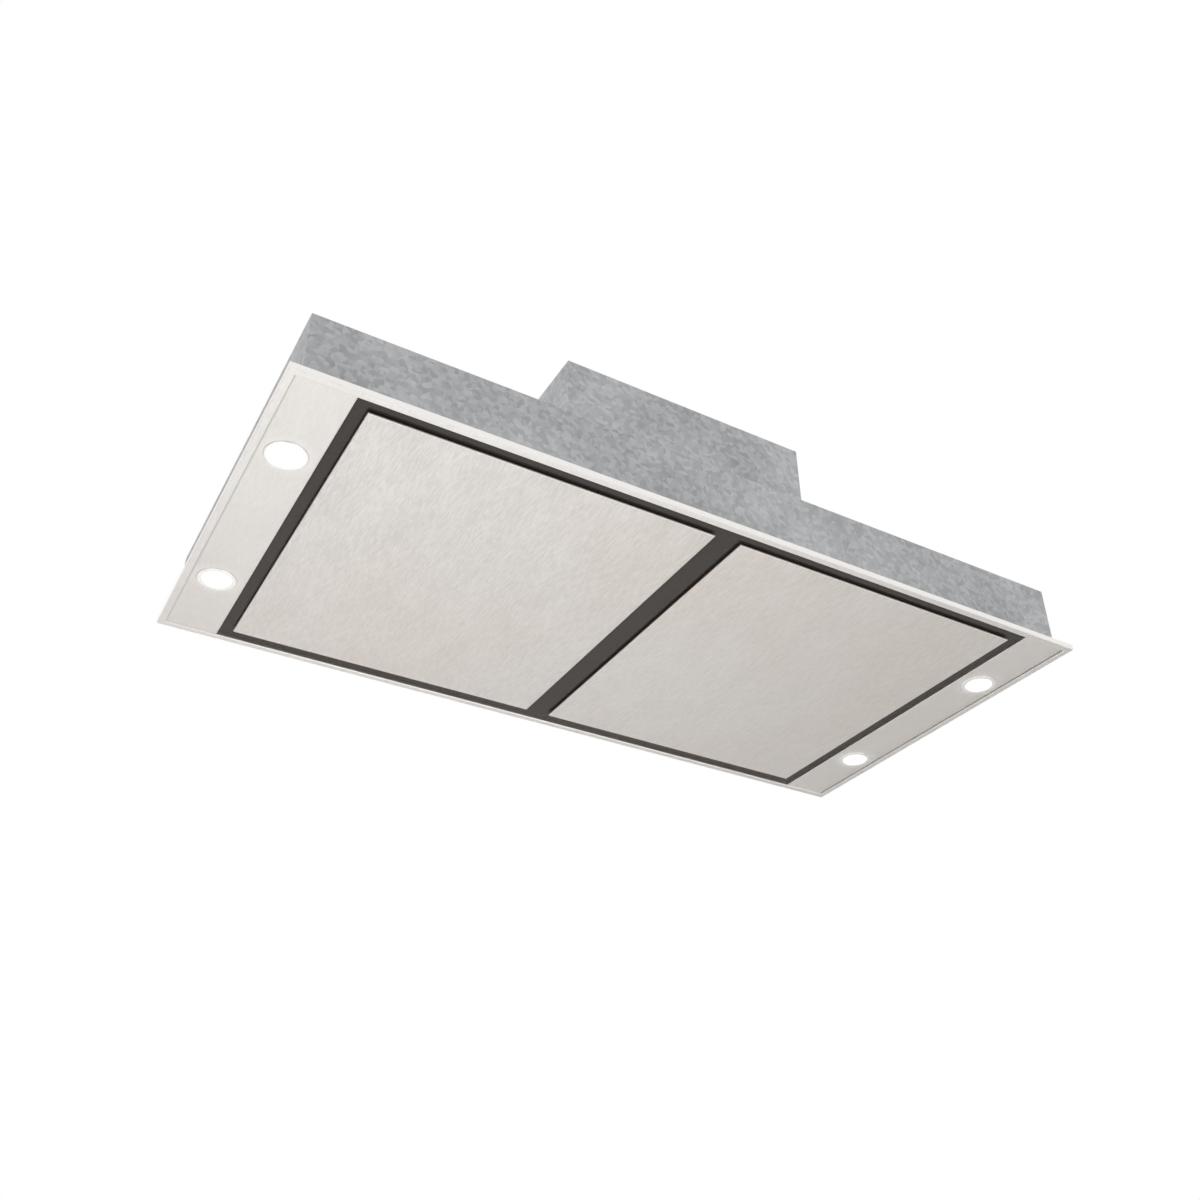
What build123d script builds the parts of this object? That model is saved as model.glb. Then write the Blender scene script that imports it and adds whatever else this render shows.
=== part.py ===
"""Ceiling range hood: two perimeter-suction panels, four lamps, grease filters, blower and outlet damper.

Millimetres. X runs along the long side, Y from the near to the far long side, Z up.
The origin is the middle of the ceiling plane: the trim hangs below z = 0, the housing stands above it.
"""

import os
from math import atan2, degrees, sqrt

from build123d import *

# Trim frame that shows under the ceiling
trim_length = 1200.0
trim_depth = 600.0
trim_height = 8.4
trim_sheet = 1.0
trim_fold_radius = 0.7
hem_fold_radius = 1.8
rim_width = 10.5
strip_step = 2.2
strip_width = 83.5

# Perimeter panels and the suction channel round them
channel_end = 18.7
channel_side = 19.0
channel_middle = 39.6
panel_step = 1.0
panel_edge = 2.5
panel_sheet = 0.8
panel_fold_radius = 1.2

# Gloss channel plate, its two filter bays and the filter cassettes in them
plate_sheet = 1.0
bay_margin = 20.0
bay_lip_height = 28.0
filters_per_bay = 2
filter_base = 14.0
filter_height = 10.0
filter_sheet = 0.8
filter_flange = 12.0
filter_clearance = 1.5
mesh_thickness = 2.5
mesh_diamond_length = 34.0
mesh_diamond_width = 26.0
mesh_strand = 5.0

# Rear hooks and front latches of the cassettes
hook_width = 24.0
hook_sheet = 1.5
hook_reach = 5.0
latch_width = 36.0
latch_thickness = 2.0
latch_length = 29.0
latch_tongue = 2.5
latch_bevel = 1.2
latch_ridge_width = 25.0
latch_ridge_height = 4.0
latch_guide_wall = 1.2
latch_clearance = 0.3

# Panel hinges, stiffeners and catch magnets
hinge_pin_radius = 1.5
hinge_knuckle_wall = 1.0
hinge_axis_height = 2.0
hinge_axis_overhang = 5.0
hinge_arm_width = 24.0
hinge_arm_sheet = 1.2
hinge_arm_foot = 26.0
hinge_spacing = 320.0
hinge_ear_sheet = 2.0
hinge_ear_margin = 0.5
hinge_notch_margin = 1.7
stiffener_height = 6.0
stiffener_width = 46.0
stiffener_flange = 11.5
stiffener_sheet = 1.0
stiffener_inset = 60.0
magnet_length = 40.0
magnet_width = 9.0
magnet_gap = 0.3
magnet_inset = 14.0
magnet_corner = 2.0

# Lamps
lamp_inset = 45.0
lamp_spacing = 300.0
lamp_radius = 26.5
lamp_lens_radius = 20.0
lamp_lens_thickness = 2.5
lamp_lens_recess = 0.4
lamp_neck_radius = 23.5
lamp_ring_step = 1.3
lamp_ring_round = 0.9
lamp_ring_bevel = 0.3
lamp_neck_height = 9.0
lamp_sink_radius = 22.0
lamp_sink_base = 2.5
lamp_sink_core = 15.0
lamp_sink_height = 24.0
lamp_fins = 12
lamp_fin_thickness = 2.0
lamp_fin_inset = 0.3
lamp_clip_width = 6.0
lamp_clip_sheet = 0.6
lamp_clip_grip = 2.4
lamp_clip_crest = 1.5
lamp_clip_toe = 5.0
lamp_clip_reach = 7.0

# Housing above the ceiling
housing_margin = 18.0
housing_height = 100.0
housing_sheet = 0.8
housing_ledge = 26.0
ledge_screw_inset = 22.5
ledge_screw_spacing = 160.0
partition_foot = 10.0
fixing_inset = 50.0
fixing_radius = 2.75
beads_per_side = 2
bead_width = 16.0
bead_height = 3.0
bead_taper = 40.0
bead_end_margin = 60.0

# Blower box on the housing
box_length = 400.0
box_gap = 22.5
box_height = 185.0
box_flange = 14.0

# Blower: scroll, impeller and motor on one shaft along X
impeller_radius = 75.0
impeller_length = 100.0
impeller_disc = 2.0
impeller_ring_width = 5.4
impeller_ring_thickness = 2.0
hub_radius = 12.0
hub_length = 16.0
hub_flare = 2.0
blade_count = 32
blade_depth = 12.0
blade_thickness = 1.2
blade_lean = 5.0
blade_bow = 1.5
blade_bow_place = 5.0
blade_tip_inset = 0.1
scroll_tongue_gap = 5.0
scroll_growth = 12.0
scroll_wall = 2.5
scroll_side_gap = 6.0
scroll_outlet = 104.0
scroll_throat_rise = 11.8
scroll_flange = 8.0
seam_width = 4.0
seam_height = 4.0
boss_radius = 4.5
boss_length = 16.0
boss_hole_radius = 1.6
inlet_radius = 60.0
inlet_lip = 14.0
shaft_radius = 4.0
shaft_clearance = 0.05
shaft_tail = 2.0
shaft_bearing = 6.0
motor_radius = 44.0
motor_length = 60.0
motor_hub_gap = 4.0
motor_boss_radius = 19.8
motor_boss_height = 3.0
motor_round = 7.0
motor_rim = 2.5
motor_rim_width = 5.0
bracket_arms = 3
bracket_sheet = 2.0
bracket_arm_width = 12.0
bracket_leg_depth = 4.0
bracket_rim_margin = 2.0

# Outlet collar and its two damper flaps
collar_radius = 75.0
collar_wall = 1.5
collar_height = 50.0
collar_lead_in = 0.8
collar_base_radius = 92.0
collar_base_sheet = 2.0
flap_thickness = 1.4
flap_rim_gap = 0.9
flap_drop = 2.6
flap_hinge_radius = 3.2
flap_pin_radius = 2.0
flap_pin_height = 9.0
flap_knuckle_gap = 1.0
flap_stop_width = 4.0
flap_web_lap = 2.0
flap_rib_width = 2.0
flap_rib_height = 2.5
flap_rib_start = 14.0
flap_rib_end = 18.0

# Electrical boxes in the dry end compartments
control_length = 160.0
control_width = 48.0
control_height = 58.0
control_rise = 20.0
control_lid = 3.0
control_lid_rim = 2.0
control_corner = 1.5
driver_length = 150.0
driver_width = 44.0
driver_height = 28.0
driver_rise = 28.0
driver_bevel = 3.0
driver_lug_length = 12.0
driver_lug_width = 14.0
driver_lug_sheet = 3.0
driver_lug_hole = 2.2
gland_radius = 8.0
gland_bore_radius = 5.0
gland_hex = 20.0
gland_height = 18.0
gland_collar_height = 5.4
gland_dome_wall = 1.0
gland_dome_round = 2.0
gland_stem = 12.0
gland_nut_height = 5.0

# Hanger brackets for the threaded rods
hanger_inset_x = 52.0
hanger_inset_y = 72.0
hanger_width = 40.0
hanger_height = 22.0
hanger_foot = 34.0
hanger_sheet = 2.5
hanger_bend = 1.5
hanger_hole_radius = 4.5

# Screws, all alike
screw_radius = 2.0
screw_head_radius = 3.6
screw_head_height = 1.5
screw_head_bevel = 0.6
screw_grip = 6.0
screw_hole_clearance = 0.2

# Clearances
seat_clearance = 0.2
running_gap = 0.3
slot_clearance = 0.6

# Levels under the ceiling, worked out from the trim
rim_face = -trim_height
strip_face = rim_face + strip_step
panel_face = rim_face + panel_step
panel_top = panel_face + panel_edge
plate_top = -housing_sheet
plate_face = plate_top - plate_sheet
suction_slot = plate_face - panel_top

# Plan sizes of the trim, the channel and the panels
recess_length = trim_length - 2 * strip_width
recess_depth = trim_depth - 2 * rim_width
panel_length = (recess_length - channel_middle) / 2 - channel_end
panel_depth = recess_depth - 2 * channel_side
panel_x = (panel_length + channel_middle) / 2
lamp_x = trim_length / 2 - lamp_inset
lamp_y = lamp_spacing / 2

# Plan sizes of the filter bays and the cassettes
bay_length = panel_length - 2 * bay_margin
bay_depth = panel_depth - 2 * bay_margin
filter_length = (bay_length - (filters_per_bay + 1) * filter_clearance) / filters_per_bay
filter_depth = bay_depth - 2 * filter_clearance
filter_pitch = filter_length + filter_clearance

# Hinge line and the reach of a hinge along its pin
hinge_axis_y = panel_depth / 2 + hinge_axis_overhang
hinge_knuckle_radius = hinge_pin_radius + shaft_clearance + hinge_knuckle_wall
hinge_reach = hinge_arm_width / 2 + running_gap + hinge_ear_sheet

# Housing, its flange under the ceiling and its fixing and hanging points
housing_length = trim_length - 2 * housing_margin
housing_depth = trim_depth - 2 * housing_margin
flange_length = trim_length - 2 * (trim_sheet + seat_clearance)
flange_depth = trim_depth - 2 * (trim_sheet + seat_clearance)
fixing_x = trim_length / 2 - fixing_inset
fixing_y = (housing_depth + flange_depth) / 4
hanger_x = housing_length / 2 - hanger_inset_x
hanger_y = housing_depth / 2 - hanger_inset_y
box_top = housing_height + box_height
lid_underside = box_top - housing_sheet

# Scroll: four quarter arcs whose centres stand on a small square round the shaft
scroll_half = scroll_growth / 2
scroll_tongue_arc = impeller_radius + scroll_tongue_gap
scroll_arcs = [scroll_tongue_arc + scroll_growth * number for number in range(4)]
scroll_reach = scroll_half + scroll_arcs[3]
scroll_outlet_left = scroll_reach - scroll_outlet
scroll_half_length = impeller_length / 2 + scroll_side_gap
shaft_y = scroll_outlet / 2 - scroll_reach
shaft_z = lid_underside - scroll_half - scroll_arcs[0] - scroll_throat_rise
outlet_top = lid_underside - shaft_z
box_depth = 2 * (scroll_half + scroll_arcs[1] + scroll_wall - shaft_y + box_gap)

# Motor on the shaft, and the damper flaps' pin
motor_front = -(hub_length / 2 + motor_hub_gap)
motor_back = motor_front - motor_length
flap_axis_z = box_top + collar_base_sheet + flap_pin_height
flap_radius = collar_radius - collar_wall - flap_rim_gap
flap_underside = flap_axis_z - flap_drop

SIDES = {"left": -1, "right": 1}
ENDS = {"near": -1, "far": 1}


def slab(length, depth, height, base, x=0.0, y=0.0):
    """Block given by its plan size, the level of its underside and the middle of its plan."""
    block = Box(length, depth, height, align=(Align.CENTER, Align.CENTER, Align.MIN))
    return Pos(x, y, base) * block


def ring(outer_length, outer_depth, inner_length, inner_depth, height, base):
    """Rectangular ring of sheet, such as a wall, a flange or a lip round an opening."""
    outline = Rectangle(outer_length, outer_depth) - Rectangle(inner_length, inner_depth)
    return Pos(0, 0, base) * extrude(outline, height)


def disc(radius, height, base, x=0.0, y=0.0):
    """Upright cylinder given by the level of its underside."""
    round_block = Cylinder(radius, height, align=(Align.CENTER, Align.CENTER, Align.MIN))
    return Pos(x, y, base) * round_block


def folded_along_y(corners, depth):
    """Sheet section drawn in X and Z, run along Y with its middle at y = 0."""
    section = Plane.XZ * make_face(Polyline(*corners, close=True))
    return extrude(section, depth / 2, both=True)


def folded_along_x(corners, length):
    """Sheet section drawn in Y and Z, run along X with its middle at x = 0."""
    section = Plane.YZ * make_face(Polyline(*corners, close=True))
    return extrude(section, length / 2, both=True)


def turned(corners, axis=Axis.Z):
    """Half section drawn in X and Z, turned about an axis of that plane."""
    return revolve(Plane.XZ * make_face(Polyline(*corners, close=True)), axis)


def rod_along_x(radius, length, x, y, z):
    """Round bar along X with its middle at the point."""
    return Pos(x, y, z) * Rot(0, 90, 0) * Cylinder(radius, length)


def rod_along_y(radius, length, x, y, z):
    """Round bar along Y with its middle at the point."""
    return Pos(x, y, z) * Rot(90, 0, 0) * Cylinder(radius, length)


def group(pieces):
    """Separate solids of one node."""
    return Compound(children=[solid for piece in pieces for solid in piece.solids()])


# Trim frame, light strips and the gloss plate at the bottom of the suction channel


def make_bezel_frame():
    """Picture-frame rim: outer lip up to the ceiling, flat face, and a hem that walls the long channels."""
    opening_length = trim_length - 2 * rim_width
    opening_depth = trim_depth - 2 * rim_width
    face = ring(trim_length, trim_depth, opening_length, opening_depth, trim_sheet, rim_face)
    lip_length = trim_length - 2 * trim_sheet
    lip_depth = trim_depth - 2 * trim_sheet
    lip = ring(trim_length, trim_depth, lip_length, lip_depth, trim_height, rim_face)
    hem_length = opening_length + 2 * trim_sheet
    hem_depth = opening_depth + 2 * trim_sheet
    hem = ring(hem_length, hem_depth, opening_length, opening_depth, strip_step, rim_face)
    frame = face + lip + hem
    for end in ENDS.values():
        wall_y = end * (recess_depth + trim_sheet) / 2
        frame += slab(recess_length, trim_sheet, plate_face - strip_face, strip_face, y=wall_y)
    frame = fillet(frame.faces().sort_by(Axis.Z)[0].outer_wire().edges(), trim_fold_radius)
    return fillet(frame.faces().sort_by(Axis.Z)[0].inner_wires()[0].edges(), hem_fold_radius)


def make_light_strip(side):
    """End plate that carries two lamps, folded up at the recess to close the channel's end."""
    inner = recess_length / 2
    outer = flange_length / 2
    corners = [
        (inner, plate_top),
        (inner, strip_face),
        (outer, strip_face),
        (outer, strip_face + trim_sheet),
        (inner + trim_sheet, strip_face + trim_sheet),
        (inner + trim_sheet, plate_top),
    ]
    strip = folded_along_y(corners, flange_depth)
    fold = strip.edges().filter_by(Axis.Y).group_by(Axis.Z)[0].sort_by(Axis.X)[0]
    strip = fillet(fold, trim_fold_radius)
    hole_radius = lamp_neck_radius + running_gap
    for end in ENDS.values():
        strip -= disc(hole_radius, 3 * trim_sheet, strip_face - trim_sheet, lamp_x, end * lamp_y)
    return strip if side > 0 else mirror(strip, Plane.YZ)


def screw_places():
    """Plan places of the screws that hold the channel plate to the housing's ledge."""
    y = housing_depth / 2 - ledge_screw_inset
    for side in SIDES.values():
        for end in ENDS.values():
            for x in (panel_x - ledge_screw_spacing / 2, panel_x + ledge_screw_spacing / 2):
                yield side * x, end * y


def hinge_places(side):
    """Middles along X of one panel's two hinges."""
    return [side * panel_x - hinge_spacing / 2, side * panel_x + hinge_spacing / 2]


def filter_places(side):
    """Middles along X of the cassettes in one bay."""
    first = side * panel_x - filter_pitch * (filters_per_bay - 1) / 2
    return [first + filter_pitch * number for number in range(filters_per_bay)]


def make_channel_plate():
    """Gloss plate with two filter bays and their turned-up lips."""
    plate = slab(recess_length, recess_depth + 2 * trim_sheet, plate_sheet, plate_face)
    lip = ring(
        bay_length + 2 * plate_sheet,
        bay_depth + 2 * plate_sheet,
        bay_length,
        bay_depth,
        bay_lip_height - plate_face,
        plate_face,
    )
    slot_depth = hinge_axis_overhang + hinge_arm_sheet + hinge_arm_sheet / 2 + 2 * slot_clearance
    slot_y = panel_depth / 2 - hinge_arm_sheet - slot_clearance + slot_depth / 2
    for side in SIDES.values():
        plate -= slab(bay_length, bay_depth, 3 * plate_sheet, plate_face - plate_sheet, side * panel_x)
        plate += Pos(side * panel_x, 0, 0) * lip
        for x in hinge_places(side):
            slot_width = hinge_arm_width + 2 * slot_clearance
            plate -= slab(slot_width, slot_depth, 3 * plate_sheet, plate_face - plate_sheet, x, slot_y)
        for x in filter_places(side):
            plate -= make_lip_slots(x)
    for x, y in screw_places():
        plate -= disc(screw_radius + screw_hole_clearance, 3 * plate_sheet, plate_face - plate_sheet, x, y)
    return plate


def make_lip_slots(x):
    """Cutter for one cassette's two hook slots in the far lip and its latch slot in the near lip."""
    cut_depth = 3 * plate_sheet
    lip_y = (bay_depth + plate_sheet) / 2
    hook_slot = slab(
        hook_width + 2 * slot_clearance,
        cut_depth,
        hook_sheet + 2 * slot_clearance,
        filter_base + filter_sheet - slot_clearance,
        y=lip_y,
    )
    latch_slot = slab(
        latch_width + 2 * slot_clearance,
        cut_depth,
        latch_thickness + 2 * slot_clearance,
        filter_base - latch_clearance - latch_thickness - slot_clearance,
        y=-lip_y,
    )
    hook_offset = filter_length / 4
    cutter = Pos(x - hook_offset, 0, 0) * hook_slot + Pos(x + hook_offset, 0, 0) * hook_slot
    return cutter + Pos(x, 0, 0) * latch_slot


def make_screws():
    """Pan-head screws: the channel plate's, the blower box's, the lid's and the collar's."""
    head = disc(screw_head_radius, screw_head_height, -screw_head_height)
    head = chamfer(head.faces().sort_by(Axis.Z)[0].edges(), screw_head_bevel)
    screw = head + disc(screw_radius, screw_grip, 0)
    upright = Rot(180, 0, 0) * screw
    screws = [Pos(x, y, plate_face) * screw for x, y in screw_places()]
    screws += [Pos(x, y, housing_height + housing_sheet) * upright for x, y in box_screw_places()]
    screws += [Pos(x, y, box_top) * upright for x, y in lid_screw_places()]
    foot_top = box_top + collar_base_sheet
    screws += [Pos(x, y, foot_top) * upright for x, y in collar_screw_places()]
    return group(screws)


# Perimeter panels and what they hang on


def make_panel_skin(side):
    """Brushed sheet with its four edges turned up."""
    pan = slab(panel_length, panel_depth, panel_edge, panel_face)
    hollow_length = panel_length - 2 * panel_sheet
    hollow_depth = panel_depth - 2 * panel_sheet
    pan -= slab(hollow_length, hollow_depth, panel_edge, panel_face + panel_sheet)
    pan = fillet(pan.faces().sort_by(Axis.Z)[0].edges(), panel_fold_radius)
    return Pos(side * panel_x, 0, 0) * pan


def make_panel_core(side):
    """Stiff damping board that fills the pan flush with its edges."""
    length = panel_length - 2 * (panel_sheet + seat_clearance)
    depth = panel_depth - 2 * (panel_sheet + seat_clearance)
    return slab(length, depth, panel_edge - panel_sheet, panel_face + panel_sheet, side * panel_x)


def make_panel_stiffeners(side):
    """Two hat rails on the board's back, run across the panel between the bay's lips."""
    half = stiffener_width / 2
    crown = half - stiffener_flange
    sheet = stiffener_sheet
    top = panel_top + stiffener_height
    corners = [
        (-half, panel_top),
        (-crown + sheet, panel_top),
        (-crown + 2 * sheet, top - sheet),
        (crown - 2 * sheet, top - sheet),
        (crown - sheet, panel_top),
        (half, panel_top),
        (half, panel_top + sheet),
        (crown, panel_top + sheet),
        (crown - sheet, top),
        (-crown + sheet, top),
        (-crown, panel_top + sheet),
        (-half, panel_top + sheet),
    ]
    rail = folded_along_y(corners, bay_depth - 2 * bay_margin)
    offset_x = bay_length / 2 - stiffener_inset
    middle = side * panel_x
    return group([Pos(middle - offset_x, 0, 0) * rail, Pos(middle + offset_x, 0, 0) * rail])


def make_hinge_arm():
    """Arm from the panel's back up through the plate to the knuckle on the pin."""
    sheet = hinge_arm_sheet
    edge = panel_depth / 2
    corners = [
        (edge - hinge_arm_foot, panel_top),
        (edge, panel_top),
        (edge, hinge_axis_height - sheet / 2),
        (hinge_axis_y, hinge_axis_height - sheet / 2),
        (hinge_axis_y, hinge_axis_height + sheet / 2),
        (edge - sheet, hinge_axis_height + sheet / 2),
        (edge - sheet, panel_top + sheet),
        (edge - hinge_arm_foot, panel_top + sheet),
    ]
    arm = folded_along_x(corners, hinge_arm_width)
    arm += rod_along_x(hinge_knuckle_radius, hinge_arm_width, 0, hinge_axis_y, hinge_axis_height)
    bore_radius = hinge_pin_radius + shaft_clearance
    return arm - rod_along_x(bore_radius, 2 * hinge_arm_width, 0, hinge_axis_y, hinge_axis_height)


def make_hinge_bracket():
    """Two ears that carry the pin, on a foot fixed to the plate's upper side."""
    ear_x = hinge_arm_width / 2 + running_gap + hinge_ear_sheet / 2
    foot_back = panel_depth / 2 - hinge_arm_sheet - 2 * slot_clearance
    foot_front = bay_depth / 2 + plate_sheet + slot_clearance
    ear_end = hinge_axis_y + hinge_knuckle_radius + hinge_ear_margin
    ear_top = hinge_axis_height + hinge_knuckle_radius + hinge_ear_margin
    corners = [
        (foot_front, plate_top),
        (ear_end, plate_top),
        (ear_end, hinge_axis_height),
        (hinge_axis_y, ear_top),
        (foot_back, ear_top),
        (foot_front, plate_top + housing_sheet),
    ]
    ear = folded_along_x(corners, hinge_ear_sheet)
    foot_length = 2 * ear_x - hinge_ear_sheet
    foot_y = (foot_front + foot_back) / 2
    foot = slab(foot_length, foot_back - foot_front, housing_sheet, plate_top, y=foot_y)
    bracket = Pos(-ear_x, 0, 0) * ear + Pos(ear_x, 0, 0) * ear + foot
    hole = rod_along_x(hinge_pin_radius, 4 * ear_x, 0, hinge_axis_y, hinge_axis_height)
    return bracket - hole


def make_hinge_pin():
    """Headed pin through both ears."""
    pin_length = 2 * hinge_reach + hinge_ear_sheet
    pin = rod_along_x(hinge_pin_radius, pin_length, 0, hinge_axis_y, hinge_axis_height)
    head_x = -hinge_reach - hinge_ear_sheet / 2
    return pin + rod_along_x(hinge_knuckle_radius, hinge_ear_sheet, head_x, hinge_axis_y, hinge_axis_height)


def make_catch_magnets():
    """Flat magnets on the plate that hold each panel's near edge up."""
    y = -(panel_depth / 2 - magnet_inset)
    height = suction_slot - magnet_gap
    magnets = []
    for side in SIDES.values():
        for x in hinge_places(side):
            magnet = slab(magnet_length, magnet_width, height, plate_face - height, x, y)
            magnets.append(fillet(magnet.edges().filter_by(Axis.Z), magnet_corner))
    return group(magnets)


# Grease filter cassettes


def make_filter_frame(x):
    """U-section frame with two rear hooks and the guides of its latch."""
    frame = slab(filter_length, filter_depth, filter_height, filter_base)
    inner_length = filter_length - 2 * filter_sheet
    inner_depth = filter_depth - 2 * filter_sheet
    frame -= slab(inner_length, inner_depth, filter_height - 2 * filter_sheet, filter_base + filter_sheet)
    window_length = filter_length - 2 * filter_flange
    window_depth = filter_depth - 2 * filter_flange
    frame -= slab(window_length, window_depth, 2 * filter_height, filter_base - filter_height / 2)
    for hook_x in (-filter_length / 4, filter_length / 4):
        hook_y = filter_depth / 2 + hook_reach / 2
        frame += slab(hook_width, hook_reach, hook_sheet, filter_base + filter_sheet, hook_x, hook_y)
    guide_y = -filter_depth / 2 + filter_flange / 2 + latch_guide_wall
    for hand in (-1, 1):
        frame += Pos(0, guide_y, 0) * make_latch_guide(hand)
    return Pos(x, 0, 0) * frame


def make_latch_guide(hand):
    """L-section guide under the frame, one on each side of the latch."""
    near_x = latch_width / 2 + latch_clearance
    far_x = near_x + latch_guide_wall
    foot_x = near_x - 2 * latch_guide_wall
    shelf = filter_base - 2 * latch_clearance - latch_thickness
    corners = [
        (hand * near_x, filter_base),
        (hand * near_x, shelf),
        (hand * foot_x, shelf),
        (hand * foot_x, shelf - latch_guide_wall),
        (hand * far_x, shelf - latch_guide_wall),
        (hand * far_x, filter_base),
    ]
    return folded_along_y(corners, filter_flange - 2 * latch_guide_wall)


def make_filter_mesh(x):
    """Expanded-metal sheet on the frame's lower flange, with its diamond openings."""
    length = filter_length - 2 * (filter_sheet + seat_clearance)
    depth = filter_depth - 2 * (filter_sheet + seat_clearance)
    mesh = slab(length, depth, mesh_thickness, filter_base + filter_sheet)
    pitch_x = mesh_diamond_width + mesh_strand
    pitch_y = mesh_diamond_length + mesh_strand
    columns = int((length - 2 * filter_flange) // pitch_x)
    rows = int((depth - 2 * filter_flange) // pitch_y)
    half_width = mesh_diamond_width / 2
    half_length = mesh_diamond_length / 2
    diamond = make_face(
        Polyline((half_width, 0), (0, half_length), (-half_width, 0), (0, -half_length), close=True)
    )
    openings = Sketch() + [place * diamond for place in GridLocations(pitch_x, pitch_y, columns, rows)]
    mesh -= Pos(0, 0, filter_base) * extrude(openings, filter_height)
    return Pos(x, 0, 0) * mesh


def make_filter_latch(x):
    """Sliding plate whose tongue stands in the near lip, with a ridge for the finger."""
    top = filter_base - latch_clearance
    tip = -(bay_depth / 2 + plate_sheet + latch_tongue)
    plate = slab(latch_width, latch_length, latch_thickness, top - latch_thickness, y=tip + latch_length / 2)
    tip_edge = plate.faces().sort_by(Axis.Y)[0].edges().filter_by(Axis.X).sort_by(Axis.Z)[0]
    plate = chamfer(tip_edge, latch_bevel)
    ridge_y = tip + latch_length - latch_thickness / 2
    ridge_base = top - latch_thickness - latch_ridge_height
    ridge = slab(latch_ridge_width, latch_thickness, latch_ridge_height, ridge_base, y=ridge_y)
    return Pos(x, 0, 0) * (plate + ridge)


# Lamps


def make_lamp_ring():
    """Turned trim ring with the neck that passes through the strip."""
    face = strip_face - lamp_ring_step
    neck_top = strip_face + lamp_neck_height
    inner = lamp_lens_radius + seat_clearance
    corners = [
        (inner, face),
        (lamp_radius, face),
        (lamp_radius, strip_face),
        (lamp_neck_radius, strip_face),
        (lamp_neck_radius, neck_top),
        (inner, neck_top),
    ]
    trim = turned(corners)
    trim = fillet(trim.edges().group_by(Axis.Z)[0].sort_by(SortBy.RADIUS)[-1], lamp_ring_round)
    return chamfer(trim.edges().group_by(Axis.Z)[0].sort_by(SortBy.RADIUS)[0], lamp_ring_bevel)


def make_lamp_lens():
    """Frosted disc, set back a little from its ring's face."""
    return disc(lamp_lens_radius, lamp_lens_thickness, strip_face - lamp_ring_step + lamp_lens_recess)


def make_lamp_heat_sink():
    """Core with radial fins on the lamp's back."""
    base = strip_face + lamp_neck_height
    sink = disc(lamp_sink_radius, lamp_sink_base, base)
    sink += disc(lamp_sink_core, lamp_sink_height, base)
    fin_length = lamp_sink_radius - lamp_sink_core / 2 - lamp_fin_inset
    fin_x = lamp_sink_core / 2 + fin_length / 2
    fin = slab(fin_length, lamp_fin_thickness, lamp_sink_height, base, fin_x)
    for number in range(lamp_fins):
        sink += Rot(0, 0, number * 360 / lamp_fins) * fin
    return sink


def make_lamp_clip():
    """Bent strip of spring steel from the neck down on to the strip's upper side."""
    sheet = lamp_clip_sheet
    neck = lamp_neck_radius
    seat = strip_face + trim_sheet
    top = strip_face + lamp_neck_height
    corners = [
        (neck, top - lamp_clip_grip),
        (neck, top),
        (neck + lamp_clip_crest, top),
        (neck + lamp_clip_toe, seat + sheet),
        (neck + lamp_clip_reach, seat + sheet),
        (neck + lamp_clip_reach, seat),
        (neck + lamp_clip_toe - sheet, seat),
        (neck + lamp_clip_crest - sheet, top - sheet),
        (neck + sheet, top - lamp_clip_grip),
    ]
    return folded_along_y(corners, lamp_clip_width)


def lamp_places():
    """Name and plan place of each lamp."""
    for side_name, side in SIDES.items():
        for end_name, end in ENDS.items():
            yield f"{side_name}_{end_name}", side * lamp_x, end * lamp_y


def make_lamp_clips():
    """Two clips on each lamp, across the strip's length."""
    clip = make_lamp_clip()
    clips = []
    for _, x, y in lamp_places():
        clips += [Pos(x, y, 0) * Rot(0, 0, turn) * clip for turn in (90, 270)]
    return group(clips)


# Housing above the ceiling and the blower box on it


def make_housing_body():
    """Open-bottomed sheet box with a flange on the ceiling and a ledge for the channel plate."""
    sheet = housing_sheet
    inner_length = housing_length - 2 * sheet
    inner_depth = housing_depth - 2 * sheet
    body = ring(housing_length, housing_depth, inner_length, inner_depth, housing_height, 0)
    body += slab(housing_length, housing_depth, sheet, housing_height - sheet)
    ledge_depth = housing_depth - 2 * housing_ledge
    body += ring(flange_length, flange_depth, inner_length, ledge_depth, sheet, -sheet)
    mouth_length = box_length - 2 * box_flange
    mouth_depth = box_depth - 2 * box_flange
    body -= slab(mouth_length, mouth_depth, 4 * sheet, housing_height - 2 * sheet)
    for side in SIDES.values():
        for end in ENDS.values():
            body -= disc(fixing_radius, 4 * sheet, -2 * sheet, side * fixing_x, end * fixing_y)
        for x in hinge_places(side):
            notch_width = 2 * (hinge_reach + hinge_ear_sheet + hinge_notch_margin)
            notch_y = (housing_depth - housing_ledge) / 2 - sheet
            body -= slab(notch_width, housing_ledge, 4 * sheet, -2 * sheet, x, notch_y)
    for x, y in screw_places():
        body -= disc(screw_radius + screw_hole_clearance, 4 * sheet, -2 * sheet, x, y)
    for x, y in box_screw_places():
        body -= disc(screw_radius + screw_hole_clearance, 4 * sheet, housing_height - 2 * sheet, x, y)
    body -= disc(gland_radius + seat_clearance, 4 * sheet, housing_height - 2 * sheet, -lamp_x, 0)
    bead = make_bead()
    for x in bead_places():
        body += Pos(x, 0, housing_height) * bead
        body -= Pos(x, 0, housing_height - sheet) * bead
    return body


def make_bead():
    """Pressed stiffening bead across the top sheet, drawn from z = 0 up."""
    outline = SlotOverall(housing_depth - 2 * bead_end_margin, bead_width, rotation=90)
    return extrude(outline, bead_height, taper=bead_taper)


def bead_places():
    """Places along X of the beads, spread between the blower box's foot and the hanger brackets."""
    start = box_length / 2 + box_flange
    pitch = (hanger_x - hanger_foot / 2 - start) / (beads_per_side + 1)
    for side in SIDES.values():
        for number in range(beads_per_side):
            yield side * (start + pitch * (number + 1))


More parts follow.
